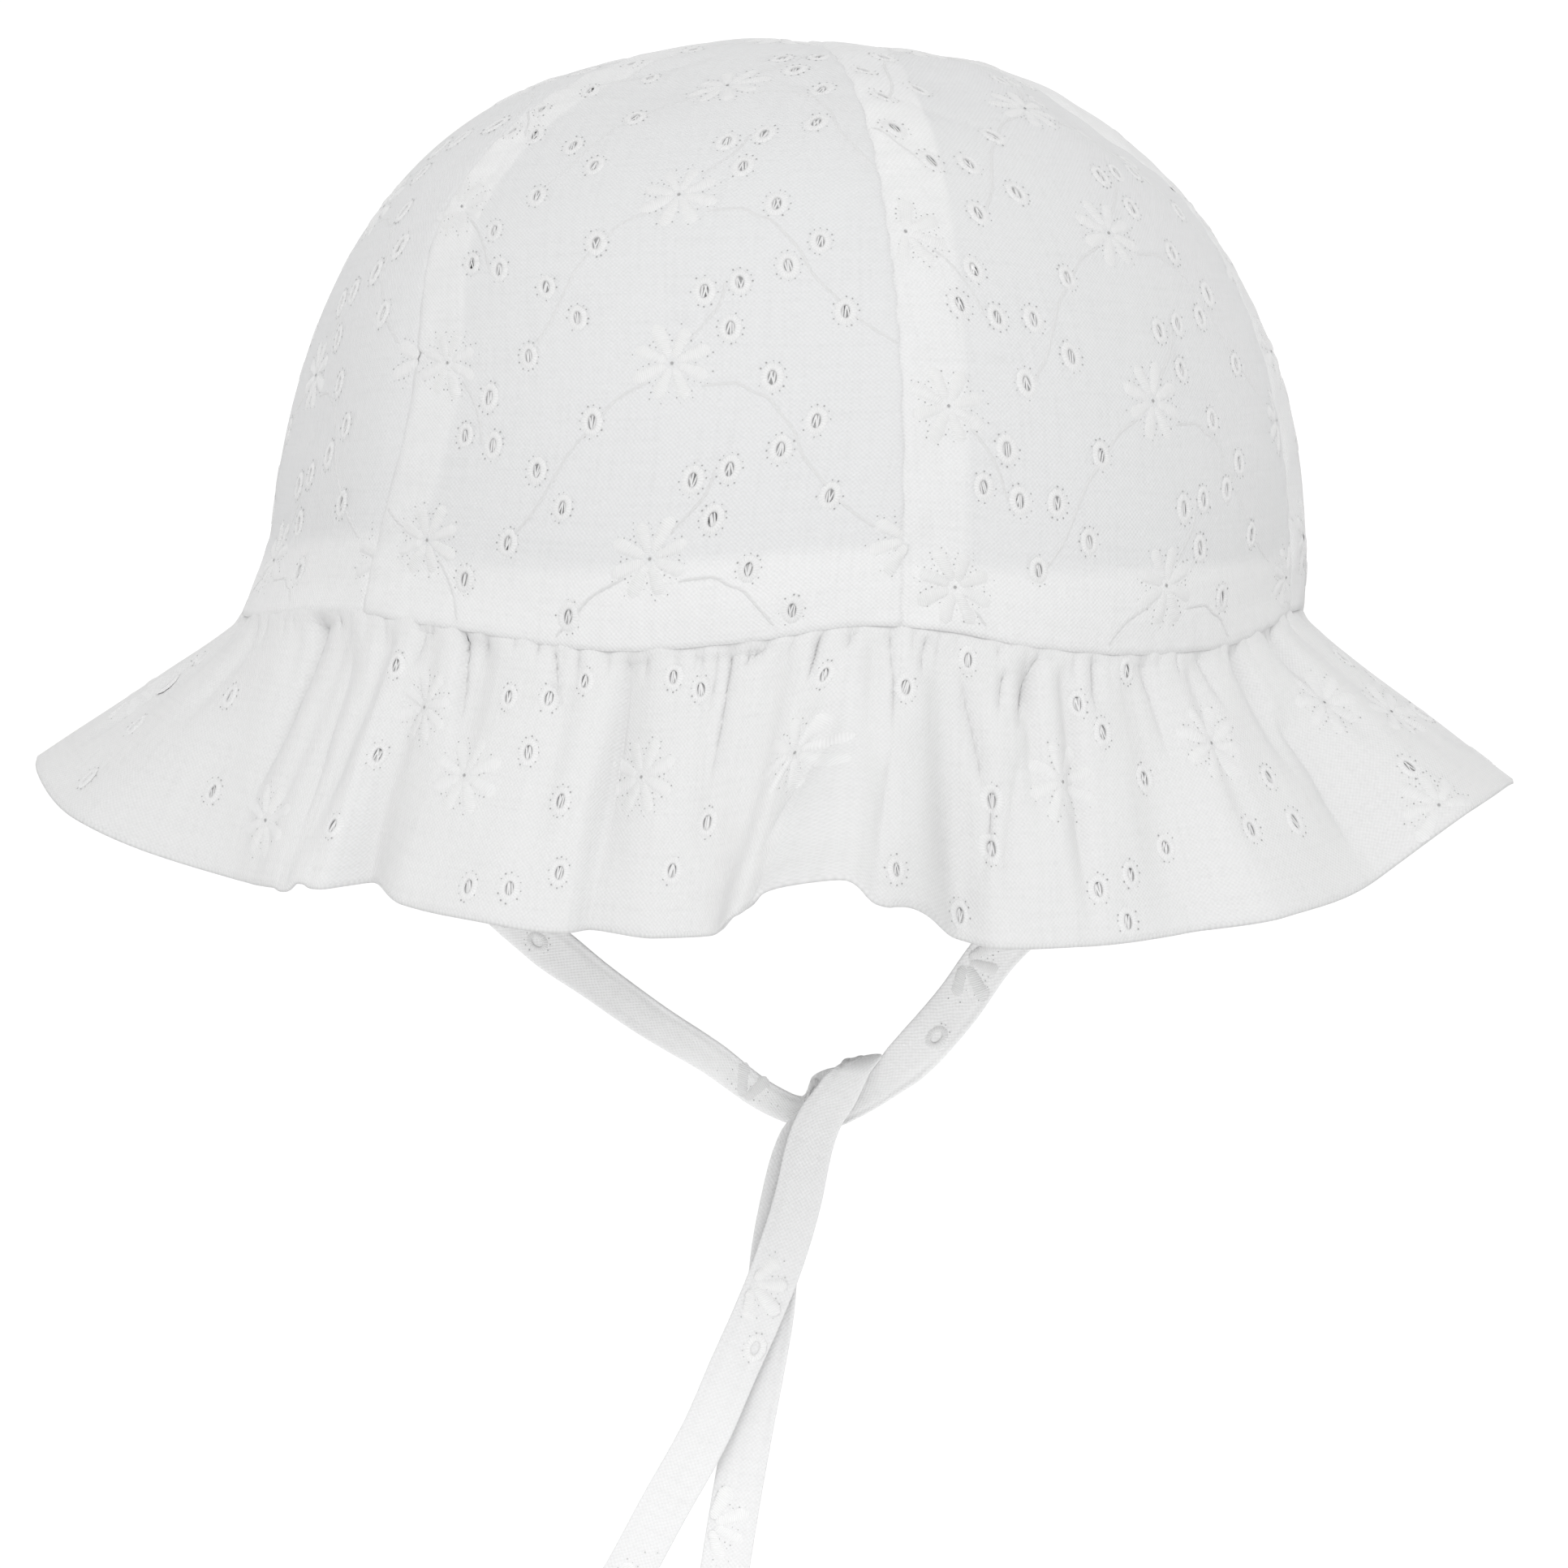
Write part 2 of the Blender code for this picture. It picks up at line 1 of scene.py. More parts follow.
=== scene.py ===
"""Looks of a baby's sun hat in white eyelet cotton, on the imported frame.

Metres, +Z up, front towards -Y. The forms repeat the hat's own measures and
add the fine folds, the embroidery, the cut eyelets, the seams and the weave.
"""
import math

import bpy
import numpy as np
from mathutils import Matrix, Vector


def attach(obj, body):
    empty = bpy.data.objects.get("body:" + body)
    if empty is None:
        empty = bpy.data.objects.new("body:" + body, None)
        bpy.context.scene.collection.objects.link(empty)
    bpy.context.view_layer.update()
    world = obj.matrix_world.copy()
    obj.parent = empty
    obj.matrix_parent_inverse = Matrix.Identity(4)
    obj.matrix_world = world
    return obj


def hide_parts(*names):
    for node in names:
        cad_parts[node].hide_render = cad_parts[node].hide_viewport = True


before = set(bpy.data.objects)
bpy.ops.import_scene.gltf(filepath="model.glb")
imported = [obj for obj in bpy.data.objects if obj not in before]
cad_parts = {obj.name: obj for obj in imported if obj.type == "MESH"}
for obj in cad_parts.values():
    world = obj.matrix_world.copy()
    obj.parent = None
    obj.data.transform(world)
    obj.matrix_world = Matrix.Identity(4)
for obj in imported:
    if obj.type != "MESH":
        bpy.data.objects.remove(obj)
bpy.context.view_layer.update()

MM = 0.001
SEED = 20

# Camera of the photograph
FRAME_WIDTH = 228.4 * MM
CAMERA_DISTANCE = 1.2
CAMERA_RISE = 3.0
CAMERA_TARGET = (-0.7 * MM, 0.0, -25.2 * MM)
SENSOR = 36.0

# Crown
CROWN_WIDTH = 149.6 * MM
CROWN_DEPTH = 160.0 * MM
CROWN_HEIGHT = 82.0 * MM
CROWN_ROUNDNESS = 2.42
PANELS = 6
FIRST_SEAM = -49.0
APEX_TILT = 5.0
SEAM_BOW = 5.5
BOW_REACH = 34.0
BOW_TOP = 0.50
FLARE_HEIGHT = 0.17
CLOTH_WALL = 0.45 * MM
TOP_RISE = 0.998
HEIGHT_STEPS = 120
ALLOWANCE = 9.0 * MM
FACING = 11.0 * MM
FOLD_INSET = 1.6 * MM
FOLD_GAP = 0.6 * MM
FOLD_RISES = (0.002, 0.86)
FACING_INSET = 3.3 * MM
FACING_START = 0.004
FACING_SPAN = 0.088
FACING_COLUMNS = 288
BAND_STEPS = 9
FRONT_PANELS = (0, 1)
FRONT_PANEL_GRID = (101, 160)
BACK_PANEL_GRID = (69, 112)

# Relief of the crown's cloth in mm: the seam's groove, the folded edge, puckers
# left and right of a seam, waves, the facing, and the edge with its small pulls.
GROOVE_DEPTH = 0.13
GROOVE_WIDTH = 0.4 * MM
FOLD_LIFT = 0.17
LEFT_PUCKER = 0.10
RIGHT_PUCKER = 0.28
LONG_WAVE = 0.30
SHORT_WAVE = 0.24
FACING_LIFT = 0.16
EDGE_DIP = 0.15
EDGE_PULL = 0.10

# Outward flare of the crown's lowest edge: angle from the front, share of width.
EDGE_FLARE = (
    (-100.0, 0.020),
    (-75.0, 0.032),
    (-50.0, 0.010),
    (-20.0, 0.0),
    (60.0, 0.0),
    (105.0, -0.005),
    (180.0, 0.010),
)
# Height of the seam between crown and brim: angle from the front, mm.
SEAM_LINE = (
    (-77.0, -0.1),
    (-54.0, 1.5),
    (-36.0, -0.4),
    (-17.0, -3.0),
    (-4.0, -1.6),
    (8.0, 0.6),
    (14.0, 0.1),
    (25.0, -2.6),
    (38.0, -4.0),
    (50.0, -3.7),
    (62.0, -1.5),
    (74.0, 0.9),
    *((103.0 + 30.0 * k, 1.0 if k % 2 else -1.0) for k in range(6)),
)
# Soft dents of the crown: angle, rise, depth and size as shares of its height.
CROWN_DENTS = (
    (62.0, 0.62, 0.030, 0.13),
    (30.0, 0.66, 0.016, 0.10),
    (-24.0, 0.66, 0.016, 0.10),
    (-70.0, 0.25, 0.010, 0.16),
)

# Soft folds of the crown: panel, start and end in mm across from its middle
# and up from its edge, depth and width in mm.
CROWN_FOLDS = (
    (1, -22.0, 90.0, -8.0, 78.0, 0.7, 2.6),
    (0, 2.0, 108.0, -16.0, 97.0, 0.7, 2.2),
    (0, 12.0, 96.0, 24.0, 88.0, 0.5, 1.6),
    (0, -30.0, 62.0, -22.0, 84.0, 0.5, 2.4),
    (1, 6.0, 44.0, 26.0, 30.0, 0.5, 4.0),
)

# Brim
BRIM_WIDTH = 40.0 * MM
BRIM_WALL = 0.9 * MM
BRIM_TUCK = 0.38 * MM
BRIM_BEND = 0.10
BRIM_STRIP = 640.0 * MM
SIDE_FLUTES = 7
MM_PER_DEGREE = 1.34
# Folds of the brim: angle at the seam, angle at the hem, reach and drop as
# shares of the brim's width.
BRIM_FOLDS = (
    (-92.0, -88.0, 0.76, 0.53),
    (-78.0, -72.0, 0.68, 0.69),
    (-64.4, -54.5, 0.45, 0.86),
    (-54.0, -46.5, 0.50, 0.885),
    (-46.0, -42.8, 0.47, 0.885),
    (-41.9, -40.6, 0.30, 0.865),
    (-36.0, -35.0, 0.40, 0.93),
    (-27.0, -27.0, 0.42, 0.975),
    (-20.0, -20.2, 0.36, 1.01),
    (-17.2, -18.2, 0.28, 1.0),
    (-12.0, -12.0, 0.34, 1.02),
    (-5.0, -7.0, 0.33, 1.01),
    (2.0, -4.6, 0.40, 0.94),
    (5.5, -2.6, 0.36, 0.895),
    (8.5, 4.5, 0.48, 0.845),
    (10.6, 7.2, 0.46, 0.89),
    (14.0, 11.0, 0.36, 0.93),
    (18.0, 16.6, 0.16, 1.04),
    (22.0, 20.0, 0.26, 1.07),
    (31.0, 29.0, 0.30, 1.065),
    (40.0, 38.4, 0.32, 1.035),
    (47.0, 45.5, 0.50, 0.99),
    (57.5, 57.5, 0.52, 0.90),
    (67.0, 66.0, 0.74, 0.66),
    (78.0, 76.0, 0.78, 0.59),
    (90.0, 89.0, 0.70, 0.62),
)
# Reach of the folds at the back and its swing from fold to fold, by angle.
BACK_REACH = (
    (90.0, 0.70, 0.05),
    (180.0, 0.55, 0.09),
    (270.0, 0.70, 0.05),
)
# Sharp creases of the brim: angle and level where they start, turn and end,
# depth in mm, width in mm to the left and to the right.
CREASES = (
    (-58.5, 0.0, -60.5, 0.30, -62.5, 0.75, 1.9, 1.0, 3.0),
    (-52.0, 0.02, -52.5, 0.45, -52.0, 1.00, 1.4, 5.0, 5.0),
    (-41.5, 0.0, -42.2, 0.10, -43.0, 0.22, 0.9, 0.8, 1.6),
    (-36.5, 0.0, -36.0, 0.14, -34.5, 0.50, 1.3, 0.9, 2.4),
    (-33.5, 0.0, -34.0, 0.06, -34.8, 0.14, 0.8, 0.7, 1.0),
    (-25.5, 0.0, -24.8, 0.12, -23.3, 0.26, 0.9, 0.8, 0.7),
    (-17.2, 0.0, -17.0, 0.30, -17.0, 0.95, 1.2, 1.1, 4.5),
    (-9.3, 0.0, -9.1, 0.05, -9.0, 0.12, 0.6, 0.6, 0.7),
    (-7.5, 0.0, -7.6, 0.10, -8.2, 0.28, 0.6, 0.9, 0.9),
    (-5.8, 0.0, -6.4, 0.22, -7.4, 0.60, 1.1, 1.2, 2.0),
    (-4.4, 0.0, -4.2, 0.04, -4.2, 0.10, 0.7, 0.6, 0.7),
    (-1.8, 0.0, -3.2, 0.04, -4.8, 0.08, 0.8, 0.6, 0.9),
    (3.4, 0.0, 3.4, 0.10, 3.2, 0.22, 0.8, 0.7, 0.8),
    (6.3, 0.0, 6.6, 0.05, 7.0, 0.10, 0.8, 0.6, 0.8),
    (7.2, 0.22, 6.2, 0.50, 3.0, 0.85, 1.2, 3.2, 2.4),
    (10.6, 0.0, 11.4, 0.20, 11.4, 0.45, 0.8, 0.7, 1.4),
    (11.4, 0.40, 10.8, 0.66, 10.2, 1.00, 0.9, 1.6, 3.6),
    (14.5, 0.02, 14.3, 0.08, 14.0, 0.20, 0.8, 0.7, 0.9),
    (18.0, 0.08, 19.8, 0.38, 20.5, 0.56, 1.1, 1.2, 2.4),
    (21.6, 0.45, 21.0, 0.60, 19.5, 0.86, 0.9, 2.4, 1.5),
    (23.2, 0.08, 22.8, 0.15, 22.2, 0.27, 0.8, 0.8, 0.8),
    (25.0, 0.30, 23.0, 0.62, 21.5, 1.00, 1.1, 3.2, 3.2),
    (27.6, 0.0, 25.6, 0.14, 24.0, 0.32, 1.2, 0.9, 1.3),
    (34.0, 0.0, 33.8, 0.10, 33.5, 0.22, 1.0, 0.6, 1.2),
    (40.5, 0.0, 41.5, 0.18, 42.0, 0.48, 0.9, 1.3, 2.2),
    (49.4, 0.0, 50.2, 0.10, 51.0, 0.28, 0.9, 0.8, 1.5),
    (55.5, 0.0, 56.5, 0.12, 57.5, 0.30, 0.9, 0.9, 1.4),
    (57.5, 0.28, 58.5, 0.57, 57.5, 0.95, 1.0, 1.4, 2.6),
    (64.0, 0.0, 64.6, 0.10, 65.0, 0.30, 0.8, 0.8, 1.4),
)
# Creases run out past CREASE_FADE, start over CREASE_START, and keep off the seam.
CREASE_SCALE = 1.35
CREASE_FADE = 0.55
CREASE_START = 0.25
CREASE_SEAM = 0.03
# Small steps of the hem: angle, half width in degrees, rise in mm.
HEM_STEPS = (
    (-52.8, 1.3, -0.5),
    (-49.4, 1.6, 0.6),
    (7.4, 2.2, 1.3),
    (10.9, 1.0, -0.3),
    (14.5, 2.0, 0.4),
)
SMALL_GATHERS = 116
RIPPLES = 46
BRIM_FRONT_EDGE = 100.0
BRIM_FRONT_COLUMNS = 720
BRIM_BACK_COLUMNS = 290
BRIM_ROWS = 46
BRIM_TURNED_UP = (-0.02, -0.05)

# Ties
TIE_WIDTH = 7.0 * MM
TIE_WALL = 0.9 * MM
TIE_STITCH_SHARE = 0.70
TIE_REPEAT = 46.0 * MM
TIE_ROWS = 420
TIE_AROUND = 36
LEFT_TIE_SEAM = 5
LEFT_TIE_TURN = 109.0
RIGHT_TIE_SEAM = 2
RIGHT_TIE_TURN = -71.0
TIE_SEWN_HEIGHT = 8.0 * MM
TIE_SEAT_INSET = 5.0 * MM
KNOT_DROP = 70.0 * MM
KNOT_FORWARD = 30.0 * MM
TAIL_LENGTH = 72.0 * MM
# Routes of the ties to the knot, as shares: across, forward and drop, with the
# tie's lean and turn in degrees and its width. Tails: across, forward, along,
# lean and width.
LEFT_TIE = (
    (-0.840, -0.30, 0.28, 14.0, 84.0, 1.0),
    (-0.680, 0.20, 0.49, 32.0, 52.0, 1.0),
    (-0.467, 0.62, 0.673, 46.0, 24.0, 1.0),
    (-0.366, 0.76, 0.748, 50.0, 10.0, 0.84),
    (-0.261, 0.86, 0.824, 54.0, 2.0, 0.78),
    (-0.150, 0.92, 0.896, 57.0, 0.0, 0.70),
    (-0.033, 0.925, 0.984, 64.0, 0.0, 0.62),
    (0.022, 0.915, 1.006, 85.0, 0.0, 0.60),
    (0.062, 0.915, 0.970, 120.0, 0.0, 0.76),
    (0.102, 0.915, 0.942, 150.0, 0.0, 0.80),
    (0.134, 0.935, 0.912, 184.0, 0.0, 0.80),
    (0.140, 1.005, 0.897, 192.0, 0.0, 0.80),
    (0.118, 1.075, 0.918, 178.0, 0.0, 0.80),
    (0.088, 1.085, 0.970, 150.0, 0.0, 0.85),
    (0.062, 1.085, 1.010, 155.0, 0.0, 0.90),
)
RIGHT_TIE = (
    (0.840, 0.80, 0.26, -12.0, -60.0, 1.0),
    (0.600, 0.90, 0.50, -25.0, -36.0, 1.0),
    (0.397, 0.96, 0.676, -36.0, -16.0, 1.0),
    (0.321, 0.98, 0.786, -40.0, -6.0, 1.0),
    (0.259, 1.00, 0.863, -41.0, 0.0, 1.0),
    (0.223, 1.00, 0.903, -44.0, 0.0, 0.95),
    (0.179, 1.00, 0.946, -50.0, 0.0, 0.74),
    (0.135, 1.00, 0.978, -55.0, 0.0, 0.68),
    (0.098, 1.00, 0.999, -55.0, 0.0, 0.66),
    (0.051, 1.00, 1.022, -42.0, 0.0, 0.72),
)
LEFT_TAIL = (
    (0.042, 1.080, 0.060, 166.0, 0.94),
    (0.016, 1.075, 0.180, 164.0, 0.97),
    (-0.018, 1.075, 0.295, 159.0, 1.0),
    (-0.060, 1.075, 0.405, 156.0, 1.0),
    (-0.107, 1.075, 0.515, 155.0, 1.0),
    (-0.157, 1.075, 0.635, 154.0, 1.0),
    (-0.242, 1.070, 0.795, 151.0, 1.0),
    (-0.303, 1.065, 0.913, 150.0, 1.0),
    (-0.352, 1.060, 1.000, 150.0, 1.0),
)
RIGHT_TAIL = (
    (0.023, 1.000, 0.060, -18.0, 0.90),
    (-0.007, 1.000, 0.180, -13.0, 1.0),
    (-0.027, 1.000, 0.295, -9.0, 1.0),
    (-0.037, 1.000, 0.405, -7.0, 1.0),
    (-0.055, 1.000, 0.515, -9.0, 1.0),
    (-0.077, 1.000, 0.635, -10.0, 1.0),
    (-0.104, 1.000, 0.795, -10.0, 1.0),
    (-0.122, 1.000, 0.913, -9.0, 1.0),
    (-0.132, 1.000, 0.985, -8.0, 1.0),
)

# The embroidered repeat, in mm across and up from its first daisy.
REPEAT_WIDTH = 71.0
# Pattern of each panel in mm: its first daisy across from the middle and up
# from the edge, the step between rows, and the second daisy from the first.
PANEL_PATTERNS = (
    (6.6, 12.4, 27.0, -36.5, 0.6),
    (0.7, 9.4, 25.8, -34.0, -2.9),
    (4.3, 10.8, 27.0, -35.5, 0.0),
    (3.6, 8.1, 27.0, -35.5, 0.0),
    (4.3, 10.8, 27.0, -35.5, 0.0),
    (6.4, 8.9, 27.0, -35.5, 0.0),
)
# Eyelets in mm from the first daisy and from the second one.
FIRST_EYELETS = (
    (4.4, 10.6),
    (9.2, 11.9),
    (7.9, 5.0),
    (-11.2, -8.2),
    (-19.0, -15.2),
    (-14.0, -20.2),
    (-22.0, 1.2),
    (13.6, -2.3),
    (15.6, -12.6),
    (19.8, -8.8),
    (23.0, -19.8),
)
SECOND_EYELETS = (
    (7.9, -5.4),
    (4.2, -11.0),
    (9.4, -12.4),
)
# Embroidered lines in mm, from the first daisy and from the second one.
FIRST_LINES = (
    ((2.6, 3.6), (5.0, 6.4), (6.6, 8.8), (7.2, 11.2)),
    ((-3.6, -2.8), (-7.6, -5.0), (-10.6, -8.4), (-14.0, -12.4),
     (-16.4, -17.0), (-18.2, -20.6), (-21.0, -24.4)),
    ((4.6, -3.2), (8.6, -3.0), (11.4, -4.4), (12.8, -5.0), (15.0, -7.4),
     (17.2, -10.4), (18.6, -13.6), (21.4, -17.2), (25.2, -21.4), (29.6, -24.8)),
)
SECOND_LINES = (
    ((3.0, -3.0), (5.2, -6.0), (6.6, -9.0), (7.4, -12.0)),
)
EYELET_WIDTH = 1.15 * MM
EYELET_LENGTH = 2.0 * MM
RIM_WIDTH = 3.2 * MM
RIM_LENGTH = 4.1 * MM
RIM_HEIGHT = 0.16 * MM
PETALS = 8
PETAL_LENGTH = 4.8 * MM
PETAL_WIDTH = 2.3 * MM
PETAL_HEIGHT = 0.22 * MM
PETAL_START = 0.9 * MM
STITCH_PITCH = 0.30 * MM
LINE_WIDTH = 0.44 * MM
LINE_HEIGHT = 0.12 * MM
CROSS_THREAD = 0.24 * MM
PATCH_DEPTH = 0.40 * MM
NEEDLE_HOLES = 12
SMALLEST_MARGIN = 2.4 * MM

# Daisies and eyelets that show on the front of the brim: angle, level.
BRIM_DAISIES = (
    (-59.0, 0.78),
    (-39.5, 0.32),
    (-32.5, 0.52),
    (-14.5, 0.45),
    (4.0, 0.45),
    (29.0, 0.45),
    (47.0, 0.35),
    (64.5, 0.38),
    (65.0, 0.93),
)
BRIM_EYELETS = (
    (-67.5, 0.72), (-70.0, 0.35), (-44.5, 0.18), (-44.0, 0.52), (-46.5, 0.78),
    (-29.5, 0.22), (-25.0, 0.20), (-26.0, 0.40), (-21.5, 0.12), (-22.0, 0.55),
    (-21.0, 0.80), (-29.0, 0.90), (-25.0, 0.88), (-12.0, 0.10), (-9.0, 0.15),
    (-10.5, 0.78), (-7.0, 0.62), (5.0, 0.18), (12.5, 0.22), (12.0, 0.88),
    (19.0, 0.08), (21.4, 0.52), (21.0, 0.68), (18.0, 0.93), (31.5, 0.18),
    (34.0, 0.28), (38.5, 0.06), (38.5, 0.45), (31.5, 0.82), (35.0, 0.78),
    (34.0, 0.94), (39.5, 0.70), (47.5, 0.68), (52.0, 0.52), (52.5, 0.70),
)
BACK_STRIP_STEP = 35.5 * MM

# Cloth: pitch of the weave, and each cotton's colour alone and over another layer of cloth; on the
# ties the second colour is painted light, lighter on the arms to make up for the shade under the
# brim
WEAVE_PITCH = 0.33 * MM
COTTONS = {
    "eyelet": ((0.575, 0.577, 0.580), (0.630, 0.630, 0.630)),
    "brim": ((0.598, 0.598, 0.598), (0.603, 0.603, 0.603)),
    "plain": ((0.66, 0.66, 0.655), (0.68, 0.68, 0.675)),
    # The ties' second colour is painted light: the arms in the brim's shade are painted lighter
    # than the tails.
    "tie": ((0.71, 0.71, 0.712), (0.84, 0.84, 0.84)),
}
SATIN_THREAD = (0.65, 0.65, 0.65)
TIE_THREAD = (0.80, 0.80, 0.80)
BRIM_THREAD = (0.672, 0.672, 0.672)
NEEDLE_SHADE = (0.34, 0.34, 0.34)
FAINT_NEEDLE_SHADE = (0.48, 0.48, 0.48)

# Stage and light
FLOOR_Z = -0.30
STAGE_RADIUS = 3.0
STAGE_BEND = 1.6
STAGE_TOP = 3.4
WORLD_LIGHT = 0.82
FLOOR_GLOW = 0.13
KEY_POWER = 14.0
KEY_SIZE = 0.8
KEY_PLACE = (0.0, -1.45, 1.25)


def smooth_curve(places, values, at):
    """Values on a smooth line through the rows, without overshoot."""
    places = np.asarray(places, float)
    values = np.asarray(values, float)
    at = np.asarray(at, float)
    index = np.clip(np.searchsorted(places, at, side="right") - 1, 0, len(places) - 2)
    rises = np.diff(values) / np.diff(places)
    total = rises[:-1] + rises[1:]
    product = rises[:-1] * rises[1:]
    slopes = np.zeros(len(places))
    bends = product > 0.0
    slopes[1:-1] = np.where(bends, 2.0 * product / np.where(bends, total, 1.0), 0.0)
    step = places[index + 1] - places[index]
    share = (at - places[index]) / step
    square = share * share
    cube = square * share
    return ((2 * cube - 3 * square + 1) * values[index]
            + (cube - 2 * square + share) * step * slopes[index]
            + (3 * square - 2 * cube) * values[index + 1]
            + (cube - square) * step * slopes[index + 1])


def soft_step(low, high, value):
    """0 below low, 1 above high, with a smooth rise between."""
    share = np.clip((value - low) / (high - low), 0.0, 1.0)
    return share * share * (3.0 - 2.0 * share)


def line_distance(across, up, x0, y0, x1, y1):
    """Distance from a line, the place along it from 0 to 1, and the way across to it."""
    length = (x1 - x0) ** 2 + (y1 - y0) ** 2
    share = np.clip(((across - x0) * (x1 - x0) + (up - y0) * (y1 - y0)) / length, 0.0, 1.0)
    aside = across - x0 - share * (x1 - x0)
    return np.hypot(aside, up - y0 - share * (y1 - y0)), share, aside


def running_length(points):
    """Length along a line of points, up to each of them."""
    steps = np.linalg.norm(np.diff(points, axis=0), axis=-1)
    return np.concatenate([[0.0], np.cumsum(steps)])


def column(rows, number):
    return [row[number] for row in rows]


def round_table(rows):
    """The same rows repeated one turn earlier and one turn later."""
    turns = (-360.0, 0.0, 360.0)
    return [(row[0] + turn,) + tuple(row[1:]) for turn in turns for row in rows]


def wrap(angle):
    return (angle + 180.0) % 360.0 - 180.0


def unit(vectors):
    return vectors / np.linalg.norm(vectors, axis=-1, keepdims=True)


# The crown's surface

FLARE_ROWS = round_table(EDGE_FLARE)
SEAM_ROWS = round_table(SEAM_LINE)


def edge_flare(angle):
    """How far the crown's lowest edge stands out."""
    return CROWN_WIDTH * smooth_curve(column(FLARE_ROWS, 0), column(FLARE_ROWS, 1), wrap(angle))


def seam_level(angle):
    """Height of the seam between crown and brim."""
    return MM * smooth_curve(column(SEAM_ROWS, 0), column(SEAM_ROWS, 1), wrap(angle))


def plain_dome(angle, rise, inset=0.0):
    """The dome without dents, by angle and by rise from its edge to its top."""
    angle, rise = np.broadcast_arrays(np.asarray(angle, float), np.asarray(rise, float))
    near_seam = np.exp(-(wrap(angle - FIRST_SEAM) / BOW_REACH) ** 2)
    bow = SEAM_BOW * near_seam * np.sin(np.pi * np.clip(rise / BOW_TOP, 0.0, 1.0)) ** 2
    turn = np.radians(angle + bow)
    tilt = math.radians(APEX_TILT)
    edge = np.stack([np.sin(turn), -np.cos(turn), np.zeros_like(turn)], -1)
    top = np.array([0.0, math.sin(tilt), math.cos(tilt)])
    full = np.arccos(np.clip(edge @ top, -1.0, 1.0))
    way = (edge * (np.sin((1.0 - rise) * full) / np.sin(full))[..., None]
           + top * (np.sin(rise * full) / np.sin(full))[..., None])
    round_share = np.hypot(way[..., 0] / (CROWN_WIDTH / 2 - inset),
                           way[..., 1] / (CROWN_DEPTH / 2 - inset))
    power = CROWN_ROUNDNESS
    high_share = np.abs(way[..., 2] / (CROWN_HEIGHT - inset))
    size = (round_share ** power + high_share ** power) ** (-1.0 / power)
    point = way * size[..., None]
    fade = np.clip(1.0 - point[..., 2] / (FLARE_HEIGHT * CROWN_HEIGHT), 0.0, None)
    point = point + edge * (edge_flare(angle) * fade * fade)[..., None]
    drop = np.clip(1.0 - point[..., 2] / CROWN_HEIGHT, 0.0, None)
    point[..., 2] += seam_level(angle) * drop ** 3
    return point


DENT_CENTRES = [plain_dome(row[0], row[1]) for row in CROWN_DENTS]


def dome_point(angle, rise, inset=0.0):
    """The dome with its soft dents."""
    point = plain_dome(angle, rise, inset)
    inward = -unit(point)
    for row, centre in zip(CROWN_DENTS, DENT_CENTRES):
        away = np.linalg.norm(point - centre, axis=-1) / (row[3] * CROWN_HEIGHT)
        point = point + inward * (row[2] * CROWN_HEIGHT * np.exp(-away ** 2))[..., None]
    return point


def seam_angle(number):
    return FIRST_SEAM + number * 360.0 / PANELS


